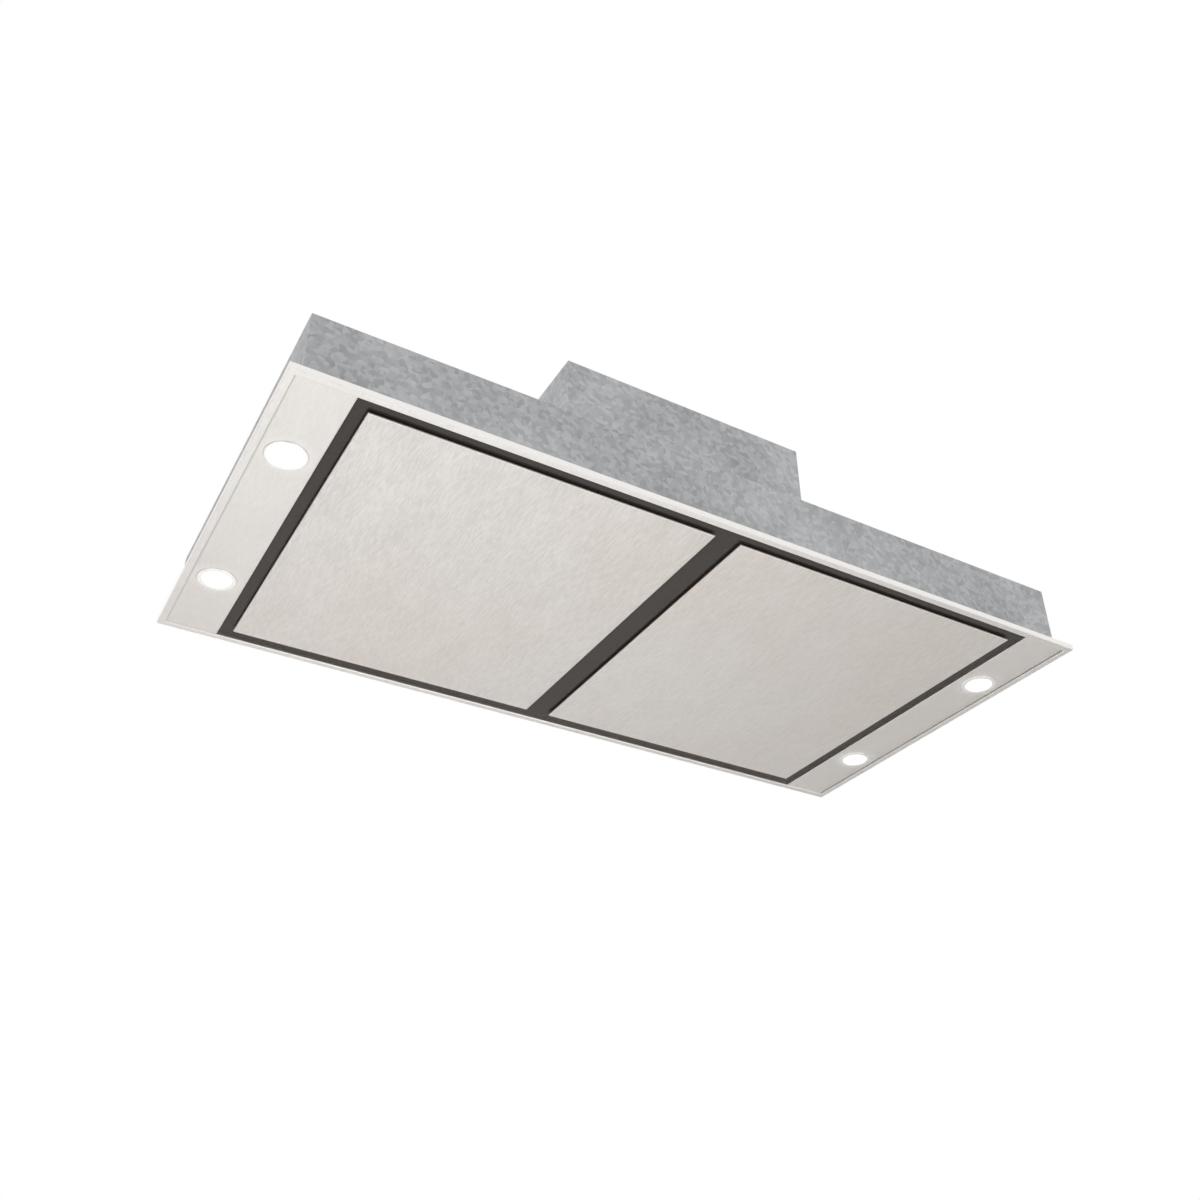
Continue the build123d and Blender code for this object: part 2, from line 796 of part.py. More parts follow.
def make_partition(side):
    """C-section wall that keeps the lamps and the electrical boxes out of the air."""
    web = recess_length / 2 + trim_sheet
    foot = web + partition_foot
    sheet = housing_sheet
    top = housing_height - sheet
    corners = [
        (web, 0),
        (foot, 0),
        (foot, sheet),
        (web + sheet, sheet),
        (web + sheet, top - sheet),
        (foot, top - sheet),
        (foot, top),
        (web, top),
    ]
    wall = folded_along_y(corners, housing_depth - 2 * (sheet + seat_clearance))
    return wall if side > 0 else mirror(wall, Plane.YZ)


def box_screw_places():
    """Plan places of the screws in the blower box's foot flange."""
    x = box_length / 2 + box_flange / 2
    y = box_depth / 4
    return [(-x, -y), (-x, y), (x, -y), (x, y)]


def lid_screw_places():
    """Plan places of the screws in the blower box's lid."""
    x = box_length / 2 - box_flange / 2
    y = box_depth / 2 - box_flange / 2
    return [(-x, -y), (-x, y), (x, -y), (x, y)]


def collar_screw_places():
    """Plan places of the screws in the outlet collar's foot."""
    radius = (collar_radius + collar_base_radius) / 2
    return [(place.position.X, place.position.Y) for place in PolarLocations(radius, 4)]


def make_blower_box():
    """Four walls with a foot flange outwards and a lid flange inwards."""
    sheet = housing_sheet
    wall_height = box_height - sheet
    inner_length = box_length - 2 * sheet
    inner_depth = box_depth - 2 * sheet
    walls = ring(box_length, box_depth, inner_length, inner_depth, wall_height, housing_height)
    foot_length = box_length + 2 * box_flange
    foot_depth = box_depth + 2 * box_flange
    walls += ring(foot_length, foot_depth, inner_length, inner_depth, sheet, housing_height)
    rim_length = box_length - 2 * box_flange
    rim_depth = box_depth - 2 * box_flange
    walls += ring(box_length, box_depth, rim_length, rim_depth, sheet, box_top - 2 * sheet)
    for x, y in box_screw_places():
        walls -= disc(screw_radius + screw_hole_clearance, 4 * sheet, housing_height - sheet, x, y)
    for x, y in lid_screw_places():
        walls -= disc(screw_radius + screw_hole_clearance, 4 * sheet, box_top - 4 * sheet, x, y)
    return walls


def make_blower_lid():
    """Top sheet with the outlet hole under the collar."""
    sheet = housing_sheet
    lid = slab(box_length, box_depth, sheet, lid_underside)
    lid -= disc(collar_radius - collar_wall, 4 * sheet, lid_underside - sheet)
    for x, y in lid_screw_places() + collar_screw_places():
        lid -= disc(screw_radius + screw_hole_clearance, 4 * sheet, lid_underside - sheet, x, y)
    return lid


# Blower


def at_shaft(piece):
    """Moves a piece drawn round the X axis to the shaft's place."""
    return Pos(0, shaft_y, shaft_z) * piece


def make_scroll_outline():
    """Inside of the scroll and its outlet throat, seen along the shaft."""
    half = scroll_half
    tongue_run = scroll_outlet_left + half
    tongue_rise = sqrt(scroll_arcs[0] ** 2 - tongue_run**2)
    tongue_angle = degrees(atan2(tongue_rise, tongue_run))
    tongue = (scroll_outlet_left, half + tongue_rise)
    edges = [
        CenterArc((-half, half), scroll_arcs[0], tongue_angle, 90 - tongue_angle),
        CenterArc((-half, -half), scroll_arcs[1], 90, 90),
        CenterArc((half, -half), scroll_arcs[2], 180, 90),
        CenterArc((half, half), scroll_arcs[3], 270, 90),
        Line((scroll_reach, half), (scroll_reach, outlet_top)),
        Line((scroll_reach, outlet_top), (scroll_outlet_left, outlet_top)),
        Line((scroll_outlet_left, outlet_top), tongue),
    ]
    return make_face(edges)


def scroll_boss_places():
    """Places, seen along the shaft, of the screw bosses that join the two halves of the scroll."""
    centres = [(-scroll_half, -scroll_half), (scroll_half, -scroll_half), (scroll_half, scroll_half)]
    places = []
    for number, (y, z) in enumerate(centres):
        out = scroll_arcs[number + 1] + scroll_wall + boss_radius / 2
        turn = Rot(0, 0, 135 + 90 * number) * Pos(out, 0, 0)
        places.append((y + turn.position.X, z + turn.position.Y))
    return places


def make_scroll_housing():
    """Moulded snail of two screwed halves, with round inlets and a flanged outlet upwards."""
    inside = make_scroll_outline()
    outside = offset(inside, scroll_wall)
    seam = offset(inside, scroll_wall + seam_height)
    half = scroll_half_length
    shell = extrude(Plane.YZ * outside, half + scroll_wall, both=True)
    shell += extrude(Plane.YZ * seam, seam_width / 2, both=True)
    for y, z in scroll_boss_places():
        shell += rod_along_x(boss_radius, boss_length, 0, y, z)
    shell -= slab(4 * half, 4 * scroll_reach, 4 * (scroll_wall + seam_height), outlet_top)
    flange_middle = scroll_reach - scroll_outlet / 2
    flange_length = 2 * (half + scroll_wall + scroll_flange)
    flange_depth = scroll_outlet + 2 * (scroll_wall + scroll_flange)
    shell += slab(flange_length, flange_depth, scroll_wall, outlet_top - scroll_wall, y=flange_middle)
    shell -= extrude(Plane.YZ * inside, half, both=True)
    shell -= rod_along_x(inlet_radius + scroll_wall, 4 * half, 0, 0, 0)
    for y, z in scroll_boss_places():
        shell -= rod_along_x(boss_hole_radius, 2 * boss_length, 0, y, z)
    return at_shaft(shell)


def make_inlet_rings():
    """Bell-mouth rings in the two inlets."""
    side = scroll_half_length + scroll_wall
    throat = inlet_radius
    tail = side - 2 * scroll_wall
    outer = throat + scroll_wall - seat_clearance
    rim = throat + inlet_lip
    face = side + scroll_wall
    edges = [
        Line((tail, throat), (side, throat)),
        RadiusArc((side, throat), (face, throat + scroll_wall), scroll_wall),
        Line((face, throat + scroll_wall), (face, rim)),
        Line((face, rim), (side, rim)),
        Line((side, rim), (side, outer)),
        Line((side, outer), (tail, outer)),
        Line((tail, outer), (tail, throat)),
    ]
    mouth = revolve(Plane.XZ * make_face(edges), Axis.X)
    return group([at_shaft(mouth), at_shaft(mirror(mouth, Plane.YZ))])


def make_impeller():
    """Double-inlet cage: hub disc in the middle, forward-curved blades, a ring at each end."""
    outer = impeller_radius
    inner = outer - blade_depth
    half = impeller_length / 2
    start = (inner, 0)
    middle = (outer - blade_bow_place, blade_bow)
    tip = (sqrt((outer - blade_tip_inset) ** 2 - blade_lean**2), blade_lean)
    back_tip = (tip[0] - blade_thickness / 2, blade_lean + blade_thickness)
    back_middle = (middle[0], blade_bow + blade_thickness)
    back_start = (inner, blade_thickness)
    blade = make_face(
        [
            ThreePointArc(start, middle, tip),
            Line(tip, back_tip),
            ThreePointArc(back_tip, back_middle, back_start),
            Line(back_start, start),
        ]
    )
    blades = Sketch() + [place * blade for place in PolarLocations(0, blade_count)]
    cage = extrude(Plane.YZ * blades, half, both=True)
    bore = shaft_radius + shaft_clearance
    disc_half = impeller_disc / 2
    hub_half = hub_length / 2
    disc_profile = [
        (-hub_half, bore),
        (hub_half, bore),
        (hub_half, hub_radius),
        (disc_half, hub_radius + hub_flare),
        (disc_half, outer),
        (-disc_half, outer),
        (-disc_half, hub_radius + hub_flare),
        (-hub_half, hub_radius),
    ]
    cage += turned(disc_profile, Axis.X)
    thickness = impeller_ring_thickness
    end_ring = rod_along_x(outer, thickness, 0, 0, 0)
    end_ring -= rod_along_x(outer - impeller_ring_width, 2 * thickness, 0, 0, 0)
    for hand in (-1, 1):
        cage += Pos(hand * (half - thickness / 2), 0, 0) * end_ring
    return at_shaft(cage)


def make_motor_shaft():
    """Shaft from the motor's rear bearing to the impeller's hub."""
    front = hub_length / 2 + shaft_tail
    back = motor_back + shaft_bearing
    return at_shaft(rod_along_x(shaft_radius, front - back, (front + back) / 2, 0, 0))


def make_motor():
    """Can motor of two rounded shells inside the left half of the impeller, bored for its shaft."""
    middle = (motor_front + motor_back) / 2
    can = rod_along_x(motor_radius, motor_length - 2 * motor_boss_height, middle, 0, 0)
    can = fillet(can.edges().filter_by(GeomType.CIRCLE), motor_round)
    can += rod_along_x(motor_radius + motor_rim, motor_rim_width, middle, 0, 0)
    can += rod_along_x(motor_boss_radius, motor_length, middle, 0, 0)
    return at_shaft(can - rod_along_x(shaft_radius + shaft_clearance, 2 * motor_length, middle, 0, 0))


def make_motor_bracket():
    """Three arms from the motor's rear cap out to the left inlet ring."""
    ring_face = -(scroll_half_length + 2 * scroll_wall)
    plate_back = motor_back - bracket_sheet
    plate_x = motor_back - bracket_sheet / 2
    plate = rod_along_x(motor_boss_radius, bracket_sheet, plate_x, 0, 0)
    reach = inlet_radius + inlet_lip - bracket_rim_margin
    leg_length = ring_face - plate_back
    leg_x = (ring_face + plate_back) / 2
    for number in range(bracket_arms):
        arm = slab(bracket_sheet, bracket_arm_width, reach, 0, plate_x)
        leg = slab(leg_length, bracket_arm_width, bracket_leg_depth, reach - bracket_leg_depth, leg_x)
        plate += Rot(number * 360 / bracket_arms, 0, 0) * (arm + leg)
    return at_shaft(plate)


# Outlet collar and its flaps


def make_outlet_collar():
    """Duct collar on a round foot, with the ledge that the closed flaps rest on."""
    bore = collar_radius - collar_wall
    stop_top = flap_underside - running_gap
    top = box_top + collar_height
    corners = [
        (bore - flap_stop_width, box_top),
        (collar_base_radius, box_top),
        (collar_base_radius, box_top + collar_base_sheet),
        (collar_radius, box_top + collar_base_sheet),
        (collar_radius, top - collar_lead_in),
        (collar_radius - collar_lead_in, top),
        (bore, top),
        (bore, stop_top),
        (bore - flap_stop_width, stop_top),
    ]
    collar = turned(corners)
    hole = disc(screw_radius + screw_hole_clearance, 3 * collar_base_sheet, box_top - collar_base_sheet)
    for x, y in collar_screw_places():
        collar -= Pos(x, y, 0) * hole
    return collar - rod_along_y(flap_pin_radius, 3 * collar_radius, 0, 0, flap_axis_z)


def make_damper_pin():
    """Pin across the collar that both flaps turn on."""
    return rod_along_y(flap_pin_radius, 2 * collar_radius, 0, 0, flap_axis_z)


def make_damper_flap(side):
    """Half-round flap with two of the four knuckles along the pin."""
    plate = disc(flap_radius, flap_thickness, flap_underside)
    keep = slab(2 * collar_radius, 4 * collar_radius, 4 * flap_thickness, flap_underside - flap_thickness)
    edge_gap = flap_hinge_radius + running_gap
    plate &= Pos(collar_radius + edge_gap, 0, 0) * keep
    span = 2 * (collar_radius - collar_wall - flap_stop_width - flap_knuckle_gap)
    pitch = span / 4
    for number in range(4):
        if (number % 2 == 0) != (side > 0):
            continue
        y = -span / 2 + pitch * (number + 0.5)
        knuckle = rod_along_y(flap_hinge_radius, pitch - flap_knuckle_gap, 0, y, flap_axis_z)
        web_length = edge_gap + flap_web_lap
        web = slab(web_length, pitch - flap_knuckle_gap, flap_thickness, flap_underside, web_length / 2, y)
        plate += knuckle + web
    rib_end = flap_radius - flap_rib_end
    rib_middle = (flap_rib_start + rib_end) / 2
    rib_base = flap_underside + flap_thickness
    plate += slab(rib_end - flap_rib_start, flap_rib_width, flap_rib_height, rib_base, rib_middle)
    plate -= rod_along_y(flap_pin_radius + shaft_clearance, 3 * collar_radius, 0, 0, flap_axis_z)
    return plate if side > 0 else mirror(plate, Plane.YZ)


# Electrical boxes, cable gland and hanger brackets


def make_control_box():
    """Closed casing on the left end wall, its lid a little larger than its tray."""
    wall_x = -(housing_length / 2 - housing_sheet)
    tray_width = control_width - control_lid
    tray = slab(tray_width, control_length, control_height, control_rise, wall_x + tray_width / 2)
    lid_length = control_length + 2 * control_lid_rim
    lid_height = control_height + 2 * control_lid_rim
    lid_x = wall_x + tray_width + control_lid / 2
    casing = tray + slab(control_lid, lid_length, lid_height, control_rise - control_lid_rim, lid_x)
    return fillet(casing.edges().filter_by(Axis.X).group_by(Axis.Z)[-1], control_corner)


def make_led_driver():
    """Power supply of the lamps on the right end wall, with a screw lug at each end."""
    wall_x = housing_length / 2 - housing_sheet
    case = slab(driver_height, driver_length, driver_width, driver_rise, wall_x - driver_height / 2)
    case = chamfer(case.edges().filter_by(Axis.Y).group_by(Axis.X)[0], driver_bevel)
    lugs_length = driver_length + 2 * driver_lug_length
    lug_middle = driver_rise + driver_width / 2
    lug_x = wall_x - driver_lug_sheet / 2
    case += slab(driver_lug_sheet, lugs_length, driver_lug_width, lug_middle - driver_lug_width / 2, lug_x)
    for end in ENDS.values():
        hole_y = end * (driver_length + driver_lug_length) / 2
        case -= rod_along_x(driver_lug_hole, 4 * driver_lug_sheet, lug_x, hole_y, lug_middle)
    return case


def make_cable_gland():
    """Hexagon gland through the housing's top over the left compartment."""
    hexagon = RegularPolygon(gland_hex / 2, 6)
    collar = Pos(0, 0, housing_height) * extrude(hexagon, gland_collar_height)
    dome = disc(gland_radius + gland_dome_wall, gland_height, housing_height)
    dome = fillet(dome.faces().sort_by(Axis.Z)[-1].edges(), gland_dome_round)
    stem = disc(gland_radius, gland_stem, housing_height - gland_stem)
    nut_base = housing_height - housing_sheet - gland_nut_height
    nut = Pos(0, 0, nut_base) * extrude(hexagon, gland_nut_height)
    gland = collar + dome + stem + nut
    gland -= disc(gland_bore_radius, 4 * gland_height, housing_height - 2 * gland_height)
    return Pos(-lamp_x, 0, 0) * gland


def make_hanger_bracket():
    """Z-section bracket riveted on the housing, with the hole for the threaded rod."""
    sheet = hanger_sheet
    foot = hanger_foot
    top = hanger_height
    corners = [
        (0, 0),
        (foot, 0),
        (foot, sheet),
        (sheet, sheet),
        (sheet, top),
        (-foot, top),
        (-foot, top - sheet),
        (0, top - sheet),
    ]
    bracket = folded_along_y(corners, hanger_width)
    bends = bracket.edges().filter_by(Axis.Y).filter_by_position(Axis.X, 0, sheet)
    bracket = fillet(bends, hanger_bend)
    bracket -= disc(hanger_hole_radius, 4 * sheet, top - 3 * sheet, -foot / 2)
    return Pos(foot / 2, 0, housing_height) * bracket


def make_hanger_brackets():
    """One bracket at each corner, its raised tab towards the middle of the hood."""
    bracket = make_hanger_bracket()
    brackets = []
    for side in SIDES.values():
        turn = 0 if side > 0 else 180
        for end in ENDS.values():
            brackets.append(Pos(side * hanger_x, end * hanger_y, 0) * Rot(0, 0, turn) * bracket)
    return group(brackets)


def make_nodes():
    """Every piece of the hood under its node's name."""
    nodes = {
        "bezel_frame": make_bezel_frame(),
        "channel_plate": make_channel_plate(),
        "screws": make_screws(),
        "catch_magnets": make_catch_magnets(),
        "lamp_clips": make_lamp_clips(),
        "housing_body": make_housing_body(),
        "blower_box": make_blower_box(),
        "blower_lid": make_blower_lid(),
        "scroll_housing": make_scroll_housing(),
        "inlet_rings": make_inlet_rings(),
        "impeller": make_impeller(),
        "motor_shaft": make_motor_shaft(),
        "motor": make_motor(),
        "motor_bracket": make_motor_bracket(),
        "outlet_collar": make_outlet_collar(),
        "damper_pin": make_damper_pin(),
        "control_box": make_control_box(),
        "led_driver": make_led_driver(),
        "cable_gland": make_cable_gland(),
        "hanger_brackets": make_hanger_brackets(),
    }
    hinge_xs = [x for side in SIDES.values() for x in hinge_places(side)]
    nodes["hinge_brackets"] = group([Pos(x, 0, 0) * make_hinge_bracket() for x in hinge_xs])
    nodes["hinge_pins"] = group([Pos(x, 0, 0) * make_hinge_pin() for x in hinge_xs])
    for name, side in SIDES.items():
        nodes[f"light_strip_{name}"] = make_light_strip(side)
        nodes[f"partition_{name}"] = make_partition(side)
        nodes[f"damper_flap_{name}"] = make_damper_flap(side)
        nodes[f"panel_skin_{name}"] = make_panel_skin(side)
        nodes[f"panel_core_{name}"] = make_panel_core(side)
        nodes[f"panel_stiffeners_{name}"] = make_panel_stiffeners(side)
        arms = [Pos(x, 0, 0) * make_hinge_arm() for x in hinge_places(side)]
        nodes[f"panel_hinge_arms_{name}"] = group(arms)
        for number, x in enumerate(filter_places(side), start=1):
            nodes[f"filter_frame_{name}_{number}"] = make_filter_frame(x)
            nodes[f"filter_mesh_{name}_{number}"] = make_filter_mesh(x)
            nodes[f"filter_latch_{name}_{number}"] = make_filter_latch(x)
    for name, x, y in lamp_places():
        nodes[f"lamp_ring_{name}"] = Pos(x, y, 0) * make_lamp_ring()
        nodes[f"lamp_lens_{name}"] = Pos(x, y, 0) * make_lamp_lens()
        nodes[f"lamp_heat_sink_{name}"] = Pos(x, y, 0) * make_lamp_heat_sink()
    return nodes


os.makedirs("parts", exist_ok=True)
for node, shape in make_nodes().items():
    export_step(shape, os.path.join("parts", node + ".step"))
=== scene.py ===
"""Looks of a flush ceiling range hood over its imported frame. Metres, Z up, ceiling at z = 0."""

import math

import bmesh
import bpy
from mathutils import Matrix, Vector


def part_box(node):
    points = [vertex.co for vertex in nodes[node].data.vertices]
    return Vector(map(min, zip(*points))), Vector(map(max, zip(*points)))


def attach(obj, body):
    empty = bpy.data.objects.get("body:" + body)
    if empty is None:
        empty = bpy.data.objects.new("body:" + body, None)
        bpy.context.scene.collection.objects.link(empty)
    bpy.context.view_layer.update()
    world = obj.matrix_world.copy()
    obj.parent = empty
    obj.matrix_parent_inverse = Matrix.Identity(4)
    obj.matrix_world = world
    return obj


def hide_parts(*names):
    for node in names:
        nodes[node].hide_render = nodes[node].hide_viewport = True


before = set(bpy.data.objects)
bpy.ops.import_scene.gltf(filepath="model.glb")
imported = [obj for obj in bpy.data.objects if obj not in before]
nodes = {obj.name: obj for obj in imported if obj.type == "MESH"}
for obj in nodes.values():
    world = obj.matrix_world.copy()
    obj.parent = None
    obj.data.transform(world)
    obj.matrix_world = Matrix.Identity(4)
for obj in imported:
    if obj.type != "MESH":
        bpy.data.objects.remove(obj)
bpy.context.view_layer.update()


# ---------------------------------------------------------------------------------------------
# Camera. It stands under the hood at its near left corner and looks up at the brushed underside,
# at the photograph's angle and lens.
camera_place = Vector((-0.8038, -1.3399, -0.9782))
camera_look = Vector((0.4137, 0.7240, 0.5519))
camera_lens = 37.76
camera_sensor = 36.0

camera = bpy.data.objects.new("camera", bpy.data.cameras.new("camera"))
bpy.context.scene.collection.objects.link(camera)
camera.data.sensor_width = camera_sensor
camera.data.lens = camera_lens
camera.location = camera_place
camera.rotation_mode = "QUATERNION"
camera.rotation_quaternion = camera_look.to_track_quat("-Z", "Y")
bpy.context.scene.camera = camera
bpy.context.scene.view_settings.view_transform = "Standard"


# ---------------------------------------------------------------------------------------------
# Studio. A wide pale floor two metres below the ceiling plane, an even white surround and four
# soft lamps. One lights the floor that the brushed steel mirrors, and two lie on the floor and
# draw a light line along the folds.
floor_level = -2.2
floor_size = 18.0
floor_colour = (0.80, 0.788, 0.772, 1.0)
floor_roughness = 0.9
floor_backdrop = (0.03, 0.03, 0.03, 1.0)
surround_colour = (1.0, 0.962, 0.925, 1.0)
surround_level = 0.365
plain_white = (1.0, 1.0, 1.0, 1.0)
no_glow = (0.0, 0.0, 0.0, 1.0)
plain_lamp = (1.0, 1.0, 1.0)
cool_lamp = (0.975, 0.99, 1.0)


def seen_directly(tree):
    """1 where a camera, glossy or transmission ray meets the surface, and 0 for other light."""
    path = tree.nodes.new("ShaderNodeLightPath")
    total = path.outputs["Is Camera Ray"]
    for kind in ("Is Glossy Ray", "Is Transmission Ray"):
        add = tree.nodes.new("ShaderNodeMath")
        add.operation = "ADD"
        add.use_clamp = True
        tree.links.new(total, add.inputs[0])
        tree.links.new(path.outputs[kind], add.inputs[1])
        total = add.outputs[0]
    return total


def blend_colour(tree, factor, dark, light):
    """Colour mix; each colour is a socket or a plain value."""
    mix = tree.nodes.new("ShaderNodeMix")
    mix.data_type = "RGBA"
    sockets = {socket.identifier: socket for socket in mix.inputs}
    tree.links.new(factor, sockets["Factor_Float"])
    for key, value in (("A_Color", dark), ("B_Color", light)):
        if isinstance(value, tuple):
            sockets[key].default_value = value
        else:
            tree.links.new(value, sockets[key])
    return next(socket for socket in mix.outputs if socket.identifier == "Result_Color")


world = bpy.data.worlds.new("studio")
bpy.context.scene.world = world
world.use_nodes = True
tree = world.node_tree
tree.nodes.clear()
world_out = tree.nodes.new("ShaderNodeOutputWorld")
surround = tree.nodes.new("ShaderNodeBackground")
surround.inputs["Color"].default_value = surround_colour
surround.inputs["Strength"].default_value = surround_level
backdrop = tree.nodes.new("ShaderNodeBackground")
backdrop.inputs["Color"].default_value = plain_white
world_mix = tree.nodes.new("ShaderNodeMixShader")
tree.links.new(seen_directly(tree), world_mix.inputs["Fac"])
tree.links.new(surround.outputs[0], world_mix.inputs[1])
tree.links.new(backdrop.outputs[0], world_mix.inputs[2])
tree.links.new(world_mix.outputs[0], world_out.inputs["Surface"])

bpy.ops.object.select_all(action="DESELECT")
bpy.ops.mesh.primitive_plane_add(size=floor_size, location=(0, 0, floor_level))
floor = bpy.context.object
floor.name = "studio_floor"
floor_material = bpy.data.materials.new("studio_floor")
floor_material.use_nodes = True
tree = floor_material.node_tree
shader = tree.nodes["Principled BSDF"]
shader.inputs["Base Color"].default_value = floor_colour
shader.inputs["Roughness"].default_value = floor_roughness
shader.inputs["Specular IOR Level"].default_value = 0.0
shader.inputs["Emission Strength"].default_value = 1.0
floor_glow = blend_colour(tree, seen_directly(tree), no_glow, floor_backdrop)
tree.links.new(floor_glow, shader.inputs["Emission Color"])
floor.data.materials.append(floor_material)


def soft_lamp(name, place, target, size, watts, colour=plain_lamp, mirrored=False):
    """Square soft lamp turned to its target; metal shows it only where it is mirrored."""
    lamp = bpy.data.objects.new(name, bpy.data.lights.new(name, "AREA"))
    bpy.context.scene.collection.objects.link(lamp)
    lamp.data.size = size
    lamp.data.energy = watts
    lamp.data.color = colour
    lamp.location = place
    lamp.rotation_mode = "QUATERNION"
    lamp.rotation_quaternion = (Vector(target) - Vector(place)).to_track_quat("-Z", "Y")
    lamp.visible_camera = False
    lamp.visible_glossy = mirrored


soft_lamp(
    "lamp_over_floor", place=(0.1, 1.7, 1.0), target=(0.1, 1.7, floor_level),
    size=3.2, watts=123, colour=cool_lamp,
)
soft_lamp(
    "lamp_below_near", place=(1.2, -1.9, -2.1), target=(1.2, -1.9, 0),
    size=2.8, watts=22, mirrored=True,
)
soft_lamp(
    "lamp_below_left", place=(-2.4, -1.2, -2.1), target=(-2.4, -1.2, 0),
    size=3.0, watts=16, mirrored=True,
)
soft_lamp("lamp_above", place=(-1.6, -2.4, 3.0), target=(0, 0, 0.1), size=3.6, watts=60)


# ---------------------------------------------------------------------------------------------
# Housing. Galvanised steel sheet folded into a box with a ceiling flange and swaged beads; two
# partitions of the same sheet keep the lamps and the electrics out of the air.
zinc_light = (0.52, 0.53, 0.54)
zinc_dark = (0.34, 0.345, 0.35)
zinc_cut_edge = (0.60, 0.60, 0.595, 1.0)
zinc_cells = 150.0
zinc_waver = 60.0
zinc_speckle = (1400.0, 1400.0, 1400.0)
zinc_drift = (9.0, 9.0, 9.0)
crystal_share = 0.34
speckle_share = 0.5
drift_share = 0.62
zinc_tone_low = 0.42
zinc_tone_high = 1.04
rub_width = 0.0008
rub_samples = 4
rub_flat = 0.97
rub_sharp = 0.86
rub_patches = (160.0, 160.0, 160.0)
rub_patch_low = 0.35
rub_patch_high = 0.6


def new_group(name, inputs, outputs):
    """Empty node group; inputs are (name, kind, value) and outputs (name, kind)."""
    group = bpy.data.node_groups.new(name, "ShaderNodeTree")
    for title, kind, value in inputs:
        socket = group.interface.new_socket(name=title, in_out="INPUT", socket_type=kind)
        if value is not None:
            socket.default_value = value
    for title, kind in outputs:
        group.interface.new_socket(name=title, in_out="OUTPUT", socket_type=kind)
    return group, group.nodes.new("NodeGroupInput"), group.nodes.new("NodeGroupOutput")


def surface_group(name, extra=()):
    """Group for a surface: colours and roughness go in, colour, roughness and relief come out."""
    inputs = [
        ("Vector", "NodeSocketVector", None),
        ("Light", "NodeSocketColor", None),
        ("Dark", "NodeSocketColor", None),
        ("Smooth", "NodeSocketFloat", None),
        ("Rough", "NodeSocketFloat", None),
    ]
    for title, value in extra:
        inputs.append((title, "NodeSocketFloat", value))
    outputs = [
        ("Color", "NodeSocketColor"),
        ("Roughness", "NodeSocketFloat"),
        ("Height", "NodeSocketFloat"),
    ]
    return new_group(name, inputs, outputs)


def calculated(tree, operation, first, second=0.0):
    """Math node; each side is a socket or a number."""
    node = tree.nodes.new("ShaderNodeMath")
    node.operation = operation
    for socket, value in zip(node.inputs, (first, second)):
        if isinstance(value, (int, float)):
            socket.default_value = value
        else:
            tree.links.new(value, socket)
    return node.outputs[0]


def stretched(tree, vector, scale):
    """Coordinates multiplied along X, Y and Z; scale is three numbers or a socket."""
    node = tree.nodes.new("ShaderNodeVectorMath")
    node.operation = "MULTIPLY"
    tree.links.new(vector, node.inputs[0])
    if isinstance(scale, tuple):
        node.inputs[1].default_value = scale
    else:
        tree.links.new(scale, node.inputs[1])
    return node.outputs[0]


def evenly(tree, size):
    """The same size, a socket, along X, Y and Z."""
    node = tree.nodes.new("ShaderNodeCombineXYZ")
    for socket in node.inputs:
        tree.links.new(size, socket)
    return node.outputs[0]


def noise_of(tree, vector, scale, detail):
    """Noise with scale cells per metre along X, Y and Z, between about 0.3 and 0.7."""
    noise = tree.nodes.new("ShaderNodeTexNoise")
    noise.inputs["Scale"].default_value = 1.0
    noise.inputs["Detail"].default_value = detail
    tree.links.new(stretched(tree, vector, scale), noise.inputs["Vector"])
    return noise.outputs[0]


def weighted(tree, values):
    """Sum of (socket, weight) pairs."""
    total = 0.0
    for socket, weight in values:
        total = calculated(tree, "ADD", calculated(tree, "MULTIPLY", socket, weight), total)
    return total


def mapped(tree, value, low, high, out_low, out_high):
    """Value between low and high laid over another range, whose ends are numbers or sockets."""
    node = tree.nodes.new("ShaderNodeMapRange")
    tree.links.new(value, node.inputs["Value"])
    ends = {"From Min": low, "From Max": high, "To Min": out_low, "To Max": out_high}
    for title, end in ends.items():
        if isinstance(end, (int, float)):
            node.inputs[title].default_value = end
        else:
            tree.links.new(end, node.inputs[title])
    return node.outputs[0]


def close_surface(group, given, made, tone, height):
    """Lays the tone, 0 to 1, over the group's colours and roughness, and puts out the height."""
    colour = blend_colour(group, tone, given.outputs["Dark"], given.outputs["Light"])
    rough = mapped(group, tone, 0.0, 1.0, given.outputs["Rough"], given.outputs["Smooth"])
    group.links.new(colour, made.inputs["Color"])
    group.links.new(rough, made.inputs["Roughness"])
    group.links.new(height, made.inputs["Height"])
    return group


